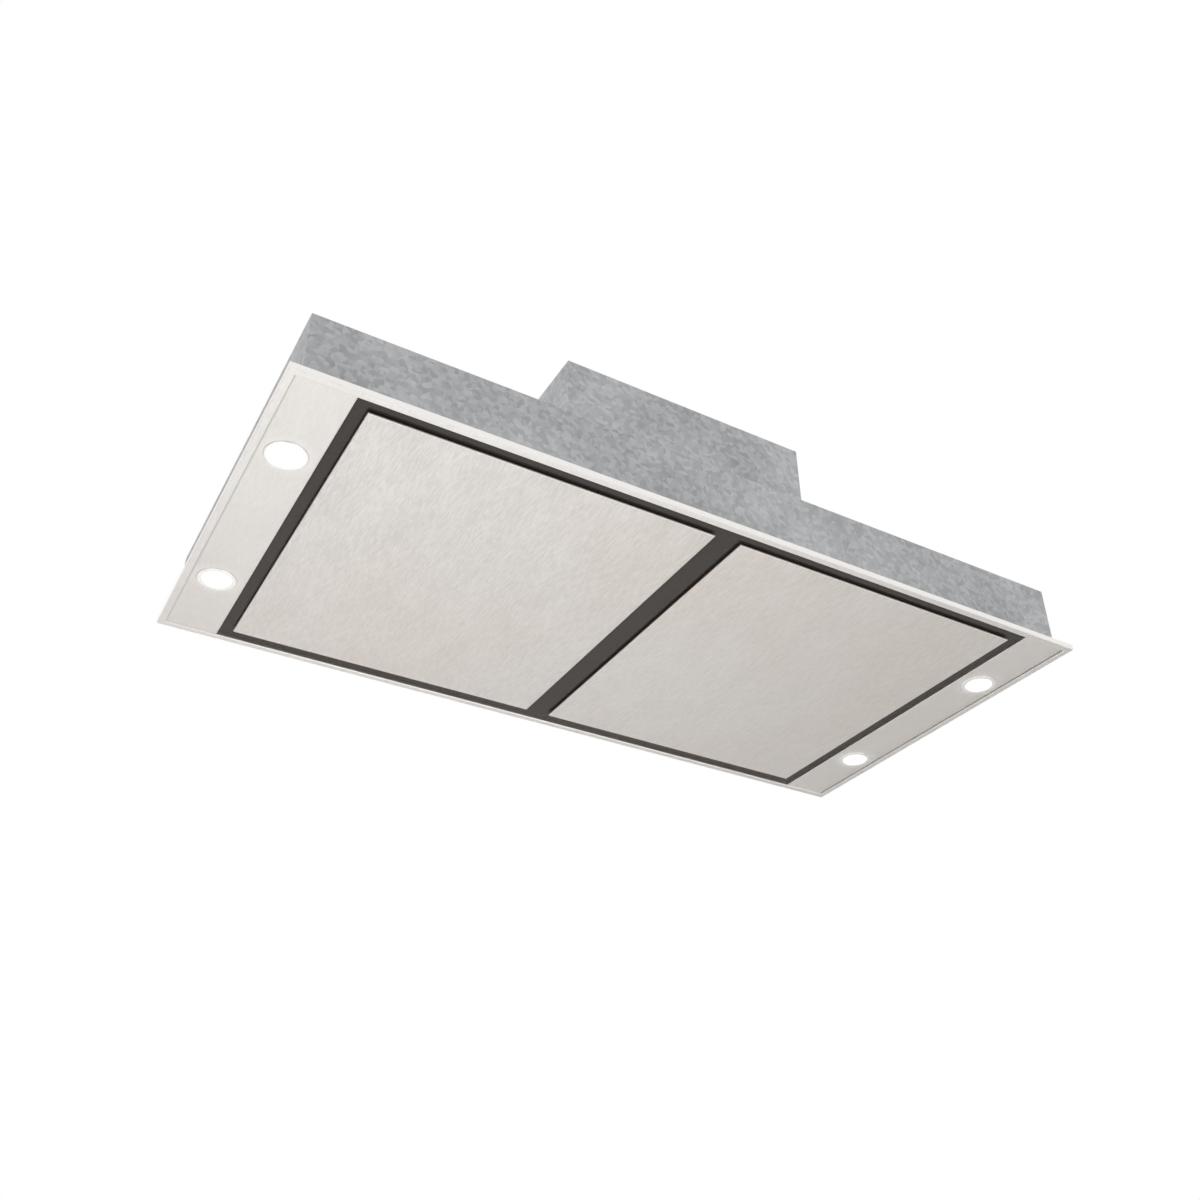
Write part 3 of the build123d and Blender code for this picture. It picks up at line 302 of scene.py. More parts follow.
def make_zinc_group():
    """Hot-dip zinc: small crystals of uneven grey, fine speckle and broad pale drifts."""
    group, given, made = surface_group("zinc_spangle", [("Cells", zinc_cells)])
    vector = given.outputs["Vector"]
    size = evenly(group, given.outputs["Cells"])
    waver = group.nodes.new("ShaderNodeTexNoise")
    waver.inputs["Scale"].default_value = zinc_waver
    group.links.new(vector, waver.inputs["Vector"])
    shifted = group.nodes.new("ShaderNodeVectorMath")
    shifted.operation = "ADD"
    group.links.new(stretched(group, vector, size), shifted.inputs[0])
    group.links.new(waver.outputs["Color"], shifted.inputs[1])
    crystals = group.nodes.new("ShaderNodeTexVoronoi")
    crystals.inputs["Scale"].default_value = 1.0
    group.links.new(shifted.outputs[0], crystals.inputs["Vector"])
    split = group.nodes.new("ShaderNodeSeparateColor")
    group.links.new(crystals.outputs["Color"], split.inputs[0])
    speckle = noise_of(group, vector, zinc_speckle, detail=2.0)
    drift = noise_of(group, vector, zinc_drift, detail=3.0)
    layers = (split.outputs[0], speckle, drift)
    tone = weighted(group, zip(layers, (crystal_share, speckle_share, drift_share)))
    tone = mapped(group, tone, zinc_tone_low, zinc_tone_high, 0.0, 1.0)
    return close_surface(group, given, made, tone, speckle)


def make_rub_group():
    """Mask of the outer edges, where a coating is thin, cut through or rubbed bright."""
    group, given, made = new_group(
        "edge_rub",
        [("Vector", "NodeSocketVector", None), ("Width", "NodeSocketFloat", rub_width)],
        [("Mask", "NodeSocketFloat")],
    )
    bevel = group.nodes.new("ShaderNodeBevel")
    bevel.samples = rub_samples
    group.links.new(given.outputs["Width"], bevel.inputs["Radius"])
    geometry = group.nodes.new("ShaderNodeNewGeometry")
    dot = group.nodes.new("ShaderNodeVectorMath")
    dot.operation = "DOT_PRODUCT"
    group.links.new(bevel.outputs[0], dot.inputs[0])
    group.links.new(geometry.outputs["Normal"], dot.inputs[1])
    edge = mapped(group, dot.outputs["Value"], rub_flat, rub_sharp, 0.0, 1.0)
    blotches = noise_of(group, given.outputs["Vector"], rub_patches, detail=2.0)
    patches = mapped(group, blotches, rub_patch_low, rub_patch_high, rub_patch_low, 1.0)
    group.links.new(calculated(group, "MULTIPLY", edge, patches), made.inputs["Mask"])
    return group


zinc_group = make_zinc_group()
rub_group = make_rub_group()


def finished(
    name, group, light, dark, smooth, rough, relief,
    metallic=0.0, specular=0.5, given=None, rub=None,
):
    """Material from a surface group; relief is its depth, and rub the colour of worn edges."""
    material = bpy.data.materials.new(name)
    material.use_nodes = True
    tree = material.node_tree
    shader = tree.nodes["Principled BSDF"]
    shader.inputs["Metallic"].default_value = metallic
    shader.inputs["Specular IOR Level"].default_value = specular
    place = tree.nodes.new("ShaderNodeTexCoord").outputs["Object"]
    surface = tree.nodes.new("ShaderNodeGroup")
    surface.node_tree = group
    surface.inputs["Light"].default_value = (*light, 1.0)
    surface.inputs["Dark"].default_value = (*dark, 1.0)
    surface.inputs["Smooth"].default_value = smooth
    surface.inputs["Rough"].default_value = rough
    for title, value in (given or {}).items():
        surface.inputs[title].default_value = value
    tree.links.new(place, surface.inputs["Vector"])
    colour = surface.outputs["Color"]
    if rub:
        worn = tree.nodes.new("ShaderNodeGroup")
        worn.node_tree = rub_group
        tree.links.new(place, worn.inputs["Vector"])
        colour = blend_colour(tree, worn.outputs["Mask"], colour, rub)
    tree.links.new(colour, shader.inputs["Base Color"])
    tree.links.new(surface.outputs["Roughness"], shader.inputs["Roughness"])
    bump = tree.nodes.new("ShaderNodeBump")
    bump.inputs["Distance"].default_value = relief
    tree.links.new(surface.outputs["Height"], bump.inputs["Height"])
    tree.links.new(bump.outputs[0], shader.inputs["Normal"])
    return material


def dress(material, *names):
    """Gives CAD nodes their material."""
    for name in names:
        mesh = nodes[name].data
        mesh.materials.clear()
        mesh.materials.append(material)


galvanised = finished(
    "galvanised_sheet", zinc_group, light=zinc_light, dark=zinc_dark,
    smooth=0.46, rough=0.62, relief=0.00002, metallic=1.0, rub=zinc_cut_edge,
)
dress(galvanised, "housing_body", "partition_left", "partition_right")


# ---------------------------------------------------------------------------------------------
# Hanger brackets. Four Z brackets of galvanised strip, riveted on the housing's top at its
# corners, with a hole for the threaded rod that carries the hood.
bracket_zinc = finished(
    "bracket_zinc", zinc_group, light=(0.60, 0.605, 0.61), dark=(0.42, 0.425, 0.43),
    smooth=0.28, rough=0.45, relief=0.00002, metallic=1.0,
    given={"Cells": 260.0}, rub=(0.68, 0.68, 0.67, 1.0),
)
dress(bracket_zinc, "hanger_brackets")


# ---------------------------------------------------------------------------------------------
# Channel plate. Steel plate stoved in dark brown-grey gloss enamel; it closes the suction channel
# from above and shows between the panels and round them.
skin_grain = 2200.0
skin_flow = 30.0
grain_share = 0.6
flow_share = 0.4
skin_tone_low = 0.36
skin_tone_high = 0.64


def make_skin_group():
    """Sprayed or moulded skin: fine even texture with faint broad flow marks."""
    group, given, made = surface_group("moulded_skin", [("Grain", skin_grain), ("Flow", skin_flow)])
    vector = given.outputs["Vector"]
    grain = noise_of(group, vector, evenly(group, given.outputs["Grain"]), detail=3.0)
    flow = noise_of(group, vector, evenly(group, given.outputs["Flow"]), detail=2.0)
    tone = weighted(group, [(grain, grain_share), (flow, flow_share)])
    tone = mapped(group, tone, skin_tone_low, skin_tone_high, 0.0, 1.0)
    return close_surface(group, given, made, tone, grain)


skin_group = make_skin_group()
gloss_enamel = finished(
    "gloss_enamel", skin_group, light=(0.047, 0.040, 0.036), dark=(0.038, 0.033, 0.030),
    smooth=0.05, rough=0.11, relief=0.000004, specular=0.28,
    given={"Grain": 260.0, "Flow": 5.0}, rub=(0.07, 0.064, 0.06, 1.0),
)
dress(gloss_enamel, "channel_plate")


# ---------------------------------------------------------------------------------------------
# Grease filters. Four cassettes: a folded frame of rolled aluminium round two layers of expanded
# metal, held in the bay by two hooks at the far end and a sliding plastic latch at the near end.
net_edge = 0.0008
net_clearance = 0.0001
coarse_diamond = (0.0214, 0.0108)
coarse_strand = 0.0015
coarse_twist = 0.0007
fine_diamond = (0.0098, 0.0050)
fine_strand = 0.0008
fine_twist = 0.0004
same_place = 1e-6
hair_cells = (1200.0, 90.0, 1200.0)
stroke_cells = (460.0, 58.0, 460.0)
cloud_cells = (20.0, 9.0, 20.0)
warm_drift = (3.2, 2.4, 3.2)
warm_drift_low = 0.42
warm_drift_high = 0.62
warm_tint = (1.0, 0.972, 0.962, 1.0)
grain_swing = 0.25


def make_grain_group():
    """Brushed or rolled grain: hairlines and strokes along Y over soft clouds and a warm drift."""
    shares = [("Hair", 0.50), ("Stroke", 0.62), ("Cloud", 0.26)]
    group, given, made = surface_group(
        "brushed_grain", [("Contrast", 1.0), ("Warmth", 1.0), *shares]
    )
    vector = given.outputs["Vector"]
    hairs = noise_of(group, vector, hair_cells, detail=2.0)
    strokes = noise_of(group, vector, stroke_cells, detail=2.0)
    clouds = noise_of(group, vector, cloud_cells, detail=3.0)
    weights = [given.outputs[title] for title, _ in shares]
    mixed = weighted(group, zip((hairs, strokes, clouds), weights))
    middle = weighted(group, [(weight, 0.5) for weight in weights])
    swing = calculated(group, "SUBTRACT", mixed, middle)
    swing = calculated(group, "MULTIPLY", swing, given.outputs["Contrast"])
    tone = mapped(group, swing, -grain_swing, grain_swing, 0.0, 1.0)
    drift = noise_of(group, vector, warm_drift, detail=2.0)
    drift = mapped(group, drift, warm_drift_low, warm_drift_high, 0.0, 1.0)
    drift = calculated(group, "MULTIPLY", drift, given.outputs["Warmth"])
    tint = blend_colour(group, drift, plain_white, warm_tint)
    colour = blend_colour(group, tone, given.outputs["Dark"], given.outputs["Light"])
    tinted = group.nodes.new("ShaderNodeVectorMath")
    tinted.operation = "MULTIPLY"
    group.links.new(colour, tinted.inputs[0])
    group.links.new(tint, tinted.inputs[1])
    rough = mapped(group, tone, 0.0, 1.0, given.outputs["Rough"], given.outputs["Smooth"])
    group.links.new(tinted.outputs[0], made.inputs["Color"])
    group.links.new(rough, made.inputs["Roughness"])
    group.links.new(mixed, made.inputs["Height"])
    return group


grain_group = make_grain_group()
rolled_aluminium = finished(
    "rolled_aluminium", grain_group, light=(0.72, 0.725, 0.73), dark=(0.56, 0.565, 0.57),
    smooth=0.28, rough=0.44, relief=0.00002, metallic=1.0,
    given={"Warmth": 0.0}, rub=(0.80, 0.80, 0.80, 1.0),
)
expanded_aluminium = finished(
    "expanded_aluminium", skin_group, light=(0.74, 0.745, 0.75), dark=(0.58, 0.585, 0.59),
    smooth=0.22, rough=0.40, relief=0.00001, metallic=1.0,
)
latch_plastic = finished(
    "latch_plastic", skin_group, light=(0.050, 0.050, 0.054), dark=(0.034, 0.034, 0.037),
    smooth=0.42, rough=0.60, relief=0.00002, rub=(0.10, 0.10, 0.105, 1.0),
)


def pick(piece, kind, wanted):
    """In edit mode, selects the faces or edges that are wanted, and nothing else."""
    bpy.ops.mesh.select_mode(type=kind)
    bpy.ops.mesh.select_all(action="DESELECT")
    shape = bmesh.from_edit_mesh(piece.data)
    for part in shape.faces if kind == "FACE" else shape.edges:
        part.select_set(wanted(part))
    bmesh.update_edit_mesh(piece.data)


def inner_square_edge(edge):
    """Says whether an edge is one of the grid's own, and not on its outline."""
    run = edge.verts[1].co - edge.verts[0].co
    return not edge.is_boundary and (abs(run.x) < same_place or abs(run.y) < same_place)


def diamond_net(low, high, level, diamond, strand, twist):
    """Net of twisted strands: a poked grid whose square edges are dissolved, made wire."""
    bpy.ops.object.select_all(action="DESELECT")
    columns = round((high.x - low.x) / diamond[0])
    rows = round((high.y - low.y) / diamond[1])
    middle = ((low.x + high.x) / 2, (low.y + high.y) / 2, level - twist / 2)
    bpy.ops.mesh.primitive_grid_add(
        x_subdivisions=columns, y_subdivisions=rows, size=1, location=middle
    )
    net = bpy.context.object
    net.scale = (high.x - low.x, high.y - low.y, 1.0)
    bpy.ops.object.transform_apply(location=True, rotation=False, scale=True)
    bpy.ops.object.mode_set(mode="EDIT")
    bpy.ops.mesh.select_all(action="SELECT")
    bpy.ops.mesh.poke(offset=twist)
    pick(net, "EDGE", inner_square_edge)
    bpy.ops.mesh.dissolve_edges(use_verts=False)
    bpy.ops.object.mode_set(mode="OBJECT")
    wire = net.modifiers.new("strands", "WIREFRAME")
    wire.thickness = strand
    wire.use_even_offset = True
    wire.use_boundary = True
    bpy.ops.object.modifier_apply(modifier="strands")
    return net


def settle(piece, name, material, body, replaced):
    """Names a finished piece, dresses it and hands it to the frame."""
    bpy.ops.object.select_all(action="DESELECT")
    piece.select_set(True)
    bpy.context.view_layer.objects.active = piece
    bpy.ops.object.transform_apply(location=True, rotation=True, scale=True)
    piece.name = name
    piece.data.name = name
    piece.data.materials.clear()
    piece.data.materials.append(material)
    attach(piece, body)
    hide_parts(replaced)


for side in ("left", "right"):
    for number in (1, 2):
        low, high = (Vector(corner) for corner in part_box(f"filter_mesh_{side}_{number}"))
        inner_low = low + Vector((net_edge, net_edge, 0))
        inner_high = high - Vector((net_edge, net_edge, 0))
        coarse_level = low.z + coarse_strand / 2 + coarse_twist / 2 + net_clearance
        fine_level = high.z - fine_strand / 2 - fine_twist / 2 - net_clearance
        coarse = diamond_net(
            inner_low, inner_high, coarse_level, coarse_diamond, coarse_strand, coarse_twist
        )
        fine = diamond_net(inner_low, inner_high, fine_level, fine_diamond, fine_strand, fine_twist)
        coarse.select_set(True)
        fine.select_set(True)
        bpy.ops.object.join()
        settle(
            bpy.context.object, f"expanded_metal_{side}_{number}", expanded_aluminium,
            "hood", f"filter_mesh_{side}_{number}",
        )
        dress(rolled_aluminium, f"filter_frame_{side}_{number}")
        dress(latch_plastic, f"filter_latch_{side}_{number}")


# ---------------------------------------------------------------------------------------------
# Blower box. Galvanised box screwed on the housing's top, with a lid; it is the pressure chamber
# in which the blower hangs.
dress(galvanised, "blower_box", "blower_lid")


# ---------------------------------------------------------------------------------------------
# Blower. Scroll housing and inlet rings of black glass-filled plastic, a double-inlet impeller,
# and an enamelled motor on a sheet bracket with its ground steel shaft.
blower_plastic = finished(
    "blower_plastic", skin_group, light=(0.046, 0.046, 0.049), dark=(0.030, 0.030, 0.032),
    smooth=0.34, rough=0.52, relief=0.00003, rub=(0.09, 0.09, 0.094, 1.0),
)
impeller_plastic = finished(
    "impeller_plastic", skin_group, light=(0.060, 0.061, 0.066), dark=(0.042, 0.043, 0.047),
    smooth=0.28, rough=0.46, relief=0.00002,
)
motor_enamel = finished(
    "motor_enamel", skin_group, light=(0.135, 0.137, 0.145), dark=(0.100, 0.102, 0.108),
    smooth=0.22, rough=0.36, relief=0.00001,
    given={"Grain": 700.0, "Flow": 18.0}, rub=(0.30, 0.30, 0.30, 1.0),
)
ground_steel = finished(
    "ground_steel", grain_group, light=(0.64, 0.64, 0.64), dark=(0.50, 0.50, 0.50),
    smooth=0.18, rough=0.30, relief=0.00001, metallic=1.0, given={"Warmth": 0.0},
)
dress(blower_plastic, "scroll_housing", "inlet_rings")
dress(impeller_plastic, "impeller")
dress(motor_enamel, "motor")
dress(ground_steel, "motor_shaft")
dress(bracket_zinc, "motor_bracket")


# ---------------------------------------------------------------------------------------------
# Outlet collar. Moulded duct spigot with two half-round non-return flaps that hang on one steel
# pin across its middle.
collar_plastic = finished(
    "collar_plastic", skin_group, light=(0.055, 0.055, 0.058), dark=(0.038, 0.038, 0.040),
    smooth=0.36, rough=0.54, relief=0.00002, rub=(0.11, 0.11, 0.115, 1.0),
)
flap_plastic = finished(
    "flap_plastic", skin_group, light=(0.085, 0.085, 0.090), dark=(0.062, 0.062, 0.066),
    smooth=0.40, rough=0.56, relief=0.00002, rub=(0.15, 0.15, 0.155, 1.0),
)
dress(collar_plastic, "outlet_collar")
dress(flap_plastic, "damper_flap_left", "damper_flap_right")
dress(ground_steel, "damper_pin")


# ---------------------------------------------------------------------------------------------
# Electrics. Control box and lamp driver in pale fire-resistant plastic, and a black gland where
# the supply comes down into the left end.
casing_plastic = finished(
    "casing_plastic", skin_group, light=(0.76, 0.755, 0.74), dark=(0.69, 0.685, 0.67),
    smooth=0.38, rough=0.52, relief=0.00002, rub=(0.80, 0.795, 0.78, 1.0),
)
dress(casing_plastic, "control_box", "led_driver")
dress(latch_plastic, "cable_gland")


# ---------------------------------------------------------------------------------------------
# Trim frame and light strips. Brushed ferritic stainless sheet; the frame is folded into a
# picture-frame rim, and a strip lies a step above it at both ends, with two lamp holes.
seam_place = 0.5895
seam_width = 0.0024
seam_floor = -0.0084
seam_depth = 0.0009
seam_end = 0.2885
strip_seam_painted_shade = (0.70, 0.69, 0.675, 1.0)
frame_seam_painted_shade = (0.38, 0.372, 0.365, 1.0)
trim_steel = finished(
    "trim_steel", grain_group, light=(0.855, 0.841, 0.823), dark=(0.800, 0.785, 0.767),
    smooth=0.30, rough=0.42, relief=0.00001, metallic=1.0,
    given={"Contrast": 1.3, "Warmth": 0.5},
)
frame_steel = finished(
    "frame_steel", grain_group, light=(0.890, 0.876, 0.858), dark=(0.830, 0.815, 0.797),
    smooth=0.28, rough=0.40, relief=0.00001, metallic=1.0,
    given={"Contrast": 1.3, "Warmth": 0.5},
)


def make_seam_shade_group():
    """Mask of painted shade in the seam along both ends: 1 deep in it at |x| = Place, 0 at Width
    from there.
    """
    group, given, made = new_group(
        "seam_painted_shade",
        [
            ("Vector", "NodeSocketVector", None),
            ("Place", "NodeSocketFloat", seam_place),
            ("Width", "NodeSocketFloat", seam_width),
        ],
        [("Mask", "NodeSocketFloat")],
    )
    split = group.nodes.new("ShaderNodeSeparateXYZ")
    group.links.new(given.outputs["Vector"], split.inputs[0])
    reach = calculated(group, "ABSOLUTE", split.outputs["X"])
    gap = calculated(group, "SUBTRACT", reach, given.outputs["Place"])
    gap = calculated(group, "ABSOLUTE", gap)
    band = mapped(group, gap, 0.0, given.outputs["Width"], 1.0, 0.0)
    deep = mapped(group, split.outputs["Z"], seam_floor, seam_floor + seam_depth, 0.0, 1.0)
    along = calculated(group, "ABSOLUTE", split.outputs["Y"])
    within = calculated(group, "LESS_THAN", along, seam_end)
    mask = calculated(group, "MULTIPLY", calculated(group, "MULTIPLY", band, deep), within)
    group.links.new(mask, made.inputs["Mask"])
    return group


seam_shade_group = make_seam_shade_group()


def overlay(material, mask, colour):
    """Lays a plain colour over a material's own where the mask is 1."""
    tree = material.node_tree
    base = tree.nodes["Principled BSDF"].inputs["Base Color"]
    tree.links.new(blend_colour(tree, mask, base.links[0].from_socket, colour), base)


def paint_seam_shade(material, width, shade):
    """Paints shade on a sheet along the seam between the frame's hem and the light strip."""
    tree = material.node_tree
    seam = tree.nodes.new("ShaderNodeGroup")
    seam.node_tree = seam_shade_group
    seam.inputs["Width"].default_value = width
    tree.links.new(tree.nodes.new("ShaderNodeTexCoord").outputs["Object"], seam.inputs["Vector"])
    overlay(material, seam.outputs["Mask"], shade)


# Painted shade: the strip and the upper part of the frame's hem are darkened along the seam where
# the hem meets the strip.
paint_seam_shade(trim_steel, seam_width, strip_seam_painted_shade)
paint_seam_shade(frame_steel, 2 * seam_width, frame_seam_painted_shade)
dress(trim_steel, "light_strip_left", "light_strip_right")
dress(frame_steel, "bezel_frame")


# ---------------------------------------------------------------------------------------------
# Lamps. Four round LED spots, two in each strip: a polished ring, a frosted lens that glows
# evenly, a cast heat sink and two spring clips above the strip.
lens_low, lens_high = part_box("lamp_lens_right_far")
ring_low, ring_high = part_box("lamp_ring_right_far")
lens_radius = (lens_high[0] - lens_low[0]) / 2
ring_radius = (ring_high[0] - ring_low[0]) / 2
lens_sides = 96
lens_rim = 0.0016
lens_crown = 0.0004
lens_steps = ((0.0040, 0.00022), (0.0055, 0.00012), (0.0050, 0.00006))
lens_smooth_angle = math.radians(40)
lens_core_radius = 0.60 * lens_radius
glow_radius = 2.0 * lens_radius
facing = 0.9
lamp_places = (0.555, 0.150)
lens_core = (1.0, 0.995, 0.98, 1.0)
lens_edge = (0.42, 0.416, 0.405, 1.0)
ring_painted_glow = (0.22, 0.218, 0.21, 1.0)
ring_shade = (0.52, 0.512, 0.50, 1.0)
ring_shade_width = 0.0014
strip_painted_glow = (0.085, 0.084, 0.081, 1.0)
ring_metal = finished(
    "ring_metal", grain_group, light=(0.86, 0.86, 0.86), dark=(0.80, 0.80, 0.80),
    smooth=0.14, rough=0.24, relief=0.000004, metallic=1.0, given={"Warmth": 0.0},
)
sink_metal = finished(
    "sink_metal", skin_group, light=(0.60, 0.60, 0.61), dark=(0.46, 0.46, 0.47),
    smooth=0.34, rough=0.52, relief=0.00004, metallic=1.0, given={"Grain": 1500.0},
)
spring_steel = finished(
    "spring_steel", grain_group, light=(0.58, 0.58, 0.575), dark=(0.46, 0.46, 0.455),
    smooth=0.22, rough=0.34, relief=0.00001, metallic=1.0, given={"Warmth": 0.0},
)


def make_spot_group():
    """Round mask about the four lamps: 1 within the inner radius, 0 beyond the outer one."""
    group, given, made = new_group(
        "lamp_spot",
        [
            ("Vector", "NodeSocketVector", None),
            ("Inner", "NodeSocketFloat", None),
            ("Outer", "NodeSocketFloat", None),
        ],
        [("Mask", "NodeSocketFloat")],
    )
    folded = group.nodes.new("ShaderNodeVectorMath")
    folded.operation = "ABSOLUTE"
    group.links.new(given.outputs["Vector"], folded.inputs[0])
    flat = stretched(group, folded.outputs[0], (1.0, 1.0, 0.0))
    reach = group.nodes.new("ShaderNodeVectorMath")
    reach.operation = "DISTANCE"
    reach.inputs[1].default_value = (*lamp_places, 0.0)
    group.links.new(flat, reach.inputs[0])
    inner, outer = given.outputs["Inner"], given.outputs["Outer"]
    mask = mapped(group, reach.outputs["Value"], outer, inner, 0.0, 1.0)
    group.links.new(mask, made.inputs["Mask"])
    return group


spot_group = make_spot_group()


def spot_mask(material, inner, outer):
    """Places the lamp mask in a material."""
    tree = material.node_tree
    spot = tree.nodes.new("ShaderNodeGroup")
    spot.node_tree = spot_group
    spot.inputs["Inner"].default_value = inner
    spot.inputs["Outer"].default_value = outer
    tree.links.new(tree.nodes.new("ShaderNodeTexCoord").outputs["Object"], spot.inputs["Vector"])
    return spot.outputs["Mask"]


def glow_round_lamps(material, inner, outer, core, edge):
    """Makes a surface glow round each lamp, from the core colour within to the edge colour beyond;
    on the lens this is the lamp's own light, and on the ring and the strip it is painted light.
    """
    tree = material.node_tree
    shader = tree.nodes["Principled BSDF"]
    shader.inputs["Emission Strength"].default_value = 1.0
    glow = blend_colour(tree, spot_mask(material, inner, outer), edge, core)
    tree.links.new(glow, shader.inputs["Emission Color"])


def shade_round_lamps(material, inner, outer, shade):
    """Darkens a surface in the thin shadow that each ring throws round itself."""
    overlay(material, spot_mask(material, inner, outer), shade)


lens_frost = finished(
    "lens_frost", skin_group, light=(0.94, 0.94, 0.92), dark=(0.90, 0.90, 0.88),
    smooth=0.30, rough=0.45, relief=0.00001, given={"Grain": 1800.0, "Flow": 60.0},
)
glow_round_lamps(lens_frost, lens_core_radius, lens_radius, lens_core, lens_edge)
# Painted light: the ring and the strip glow faintly round each lamp, as if lit by the lamp's spill.
glow_round_lamps(ring_metal, lens_radius, glow_radius, ring_painted_glow, no_glow)
glow_round_lamps(trim_steel, lens_radius, glow_radius, strip_painted_glow, no_glow)
shade_round_lamps(trim_steel, ring_radius, ring_radius + ring_shade_width, ring_shade)


def model_lens(middle, top, bottom):
    """Frosted disc: its rim is rounded and its face drawn out in low steps to a soft crown."""
    bpy.ops.object.select_all(action="DESELECT")
    bpy.ops.mesh.primitive_cylinder_add(
        vertices=lens_sides, radius=lens_radius, depth=top - bottom,
        location=(middle.x, middle.y, (top + bottom) / 2),
    )
    lens = bpy.context.object
    bpy.ops.object.transform_apply(location=True, rotation=False, scale=False)
    bpy.ops.object.mode_set(mode="EDIT")
    pick(lens, "FACE", lambda face: face.normal.z < -facing)
    for width, drop in ((lens_rim, lens_crown), *lens_steps):
        bpy.ops.mesh.inset(thickness=width)
        bpy.ops.transform.translate(value=(0, 0, -drop))
    bpy.ops.object.mode_set(mode="OBJECT")
    bpy.ops.object.shade_smooth_by_angle(angle=lens_smooth_angle)
    return lens


for side in ("left", "right"):
    for end in ("near", "far"):
        low, high = (Vector(corner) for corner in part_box(f"lamp_lens_{side}_{end}"))
        settle(
            model_lens((low + high) / 2, high.z, low.z), f"frosted_lens_{side}_{end}", lens_frost,
            "hood", f"lamp_lens_{side}_{end}",
        )
        dress(ring_metal, f"lamp_ring_{side}_{end}")
        dress(sink_metal, f"lamp_heat_sink_{side}_{end}")
dress(spring_steel, "lamp_clips")


# ---------------------------------------------------------------------------------------------
# Perimeter panels. Thin ferritic stainless sheet, brushed along the hood's short side, with its
# edges turned up round a damping board, and two hat rails on the board's back.
panel_steel = finished(
    "panel_steel", grain_group, light=(0.830, 0.811, 0.792), dark=(0.735, 0.716, 0.697),
    smooth=0.34, rough=0.46, relief=0.00004, metallic=1.0, given={"Contrast": 2.0},
)
damping_board = finished(
    "damping_board", skin_group, light=(0.085, 0.084, 0.082), dark=(0.050, 0.049, 0.048),
    smooth=0.82, rough=0.95, relief=0.00015, given={"Grain": 900.0, "Flow": 120.0},
)
dress(panel_steel, "panel_skin_left", "panel_skin_right")
dress(damping_board, "panel_core_left", "panel_core_right")
dress(bracket_zinc, "panel_stiffeners_left", "panel_stiffeners_right")


# ---------------------------------------------------------------------------------------------
# Hinges and catches. Two bright zinc-plated arms on each panel turn on pins in brackets that stand
# on the plate at its far edge; nickel-plated magnets hold the near edge up.
plated_steel = finished(
    "plated_steel", zinc_group, light=(0.66, 0.67, 0.69), dark=(0.52, 0.53, 0.55),
    smooth=0.20, rough=0.34, relief=0.00001, metallic=1.0,
    given={"Cells": 500.0}, rub=(0.74, 0.74, 0.74, 1.0),
)
nickel_plate = finished(
    "nickel_plate", skin_group, light=(0.62, 0.60, 0.57), dark=(0.52, 0.50, 0.47),
    smooth=0.12, rough=0.22, relief=0.000005, metallic=1.0, rub=(0.70, 0.68, 0.65, 1.0),
)
dress(plated_steel, "panel_hinge_arms_left", "panel_hinge_arms_right", "hinge_brackets")
dress(ground_steel, "hinge_pins")
dress(nickel_plate, "catch_magnets")


# ---------------------------------------------------------------------------------------------
# Screws. Zinc-plated pan heads with a cross recess: in the channel plate from below, and in the
# blower box's feet, its lid and the collar from above.
head_radius = 0.0036
head_height = 0.0015
head_round = 0.0006
head_sides = 24
shank_radius = 0.0020
shank_length = 0.0060
shank_sides = 12
recess_width = 0.0008
recess_span = 0.0040
recess_depth = 0.0009
recess_taper = 0.6
screw_turn = math.radians(37)
screw_smooth_angle = math.radians(35)
plate_level = -0.0018
plate_screws_x = (-0.3388, -0.1788, 0.1788, 0.3388)
plate_screws_y = (-0.2595, 0.2595)
foot_level = 0.1008
foot_screws_x = (-0.207, 0.207)
foot_screws_y = (-0.0965, 0.0965)
lid_level = 0.2850
lid_screws_x = (-0.193, 0.193)
lid_screws_y = (-0.186, 0.186)
collar_level = 0.2870
collar_reach = 0.0835
collar_screws = (
    (-collar_reach, 0, collar_level), (collar_reach, 0, collar_level),
    (0, -collar_reach, collar_level), (0, collar_reach, collar_level),
)
screws_down = [(x, y, plate_level) for x in plate_screws_x for y in plate_screws_y]
screws_up = [(x, y, foot_level) for x in foot_screws_x for y in foot_screws_y]
screws_up += [(x, y, lid_level) for x in lid_screws_x for y in lid_screws_y]
screws_up += collar_screws


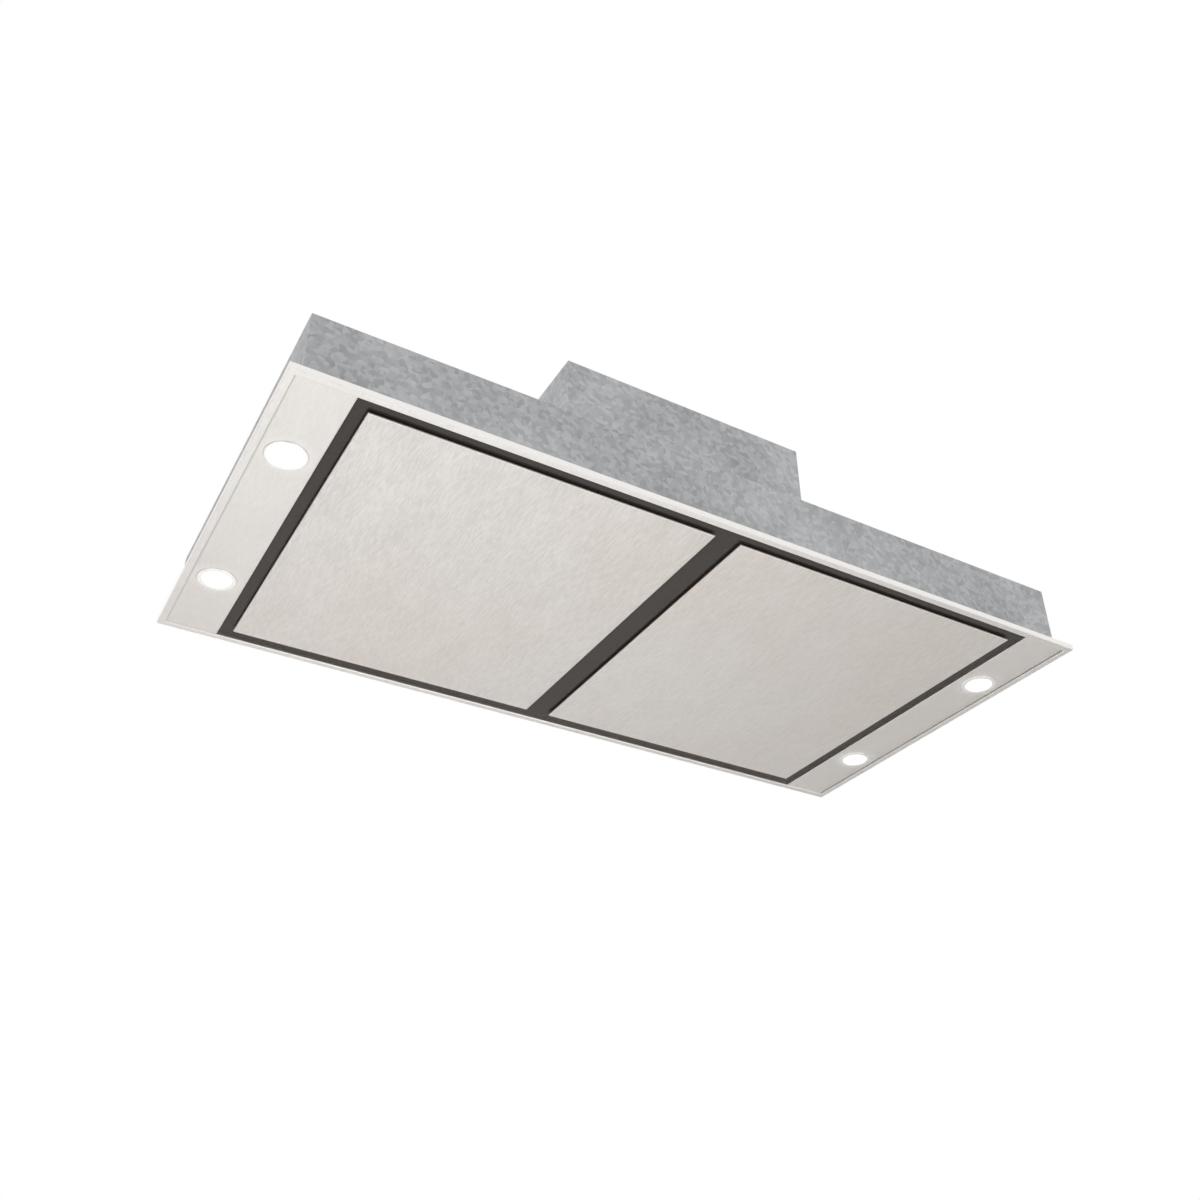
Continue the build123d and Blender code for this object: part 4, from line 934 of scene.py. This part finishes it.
def cut_recess(head, span, width):
    """Cuts one slot of the cross, narrower at its foot, out of the head's face."""
    bpy.ops.object.select_all(action="DESELECT")
    bpy.ops.mesh.primitive_cube_add(size=1, location=(0, 0, -head_height))
    cutter = bpy.context.object
    cutter.scale = (span, width, 2 * recess_depth)
    bpy.ops.object.transform_apply(location=True, rotation=False, scale=True)
    bpy.ops.object.mode_set(mode="EDIT")
    pick(cutter, "FACE", lambda face: face.normal.z > facing)
    bpy.ops.transform.resize(value=(recess_taper, recess_taper, 1.0))
    bpy.ops.object.mode_set(mode="OBJECT")
    bpy.ops.object.select_all(action="DESELECT")
    head.select_set(True)
    bpy.context.view_layer.objects.active = head
    cut = head.modifiers.new("recess", "BOOLEAN")
    cut.operation = "DIFFERENCE"
    cut.solver = "EXACT"
    cut.object = cutter
    bpy.ops.object.modifier_apply(modifier="recess")
    bpy.data.objects.remove(cutter)


def model_screw():
    """Pan-head screw at the origin, head below z = 0 and shank above it."""
    bpy.ops.object.select_all(action="DESELECT")
    bpy.ops.mesh.primitive_cylinder_add(
        vertices=head_sides, radius=head_radius, depth=head_height,
        location=(0, 0, -head_height / 2),
    )
    head = bpy.context.object
    bpy.ops.object.transform_apply(location=True, rotation=False, scale=False)
    bpy.ops.object.mode_set(mode="EDIT")
    pick(head, "EDGE", lambda edge: all(end.co.z < -head_height / 2 for end in edge.verts))
    bpy.ops.mesh.bevel(offset=head_round, segments=3)
    bpy.ops.object.mode_set(mode="OBJECT")
    cut_recess(head, recess_span, recess_width)
    cut_recess(head, recess_width, recess_span)
    bpy.ops.object.select_all(action="DESELECT")
    bpy.ops.mesh.primitive_cylinder_add(
        vertices=shank_sides, radius=shank_radius, depth=shank_length,
        location=(0, 0, shank_length / 2),
    )
    head.select_set(True)
    bpy.context.view_layer.objects.active = head
    bpy.ops.object.join()
    return bpy.context.object


model = model_screw()
copies = []
for places, half_turn in ((screws_down, 0.0), (screws_up, math.pi)):
    for index, place in enumerate(places):
        copy = bpy.data.objects.new("screw", model.data.copy())
        bpy.context.scene.collection.objects.link(copy)
        turn = Matrix.Rotation(half_turn, 4, "X") @ Matrix.Rotation(index * screw_turn, 4, "Z")
        copy.data.transform(Matrix.Translation(place) @ turn)
        copies.append(copy)
bpy.data.objects.remove(model)
bpy.ops.object.select_all(action="DESELECT")
for copy in copies:
    copy.select_set(True)
bpy.context.view_layer.objects.active = copies[0]
bpy.ops.object.join()
bpy.ops.object.shade_smooth_by_angle(angle=screw_smooth_angle)
settle(bpy.context.object, "pan_head_screws", plated_steel, "hood", "screws")
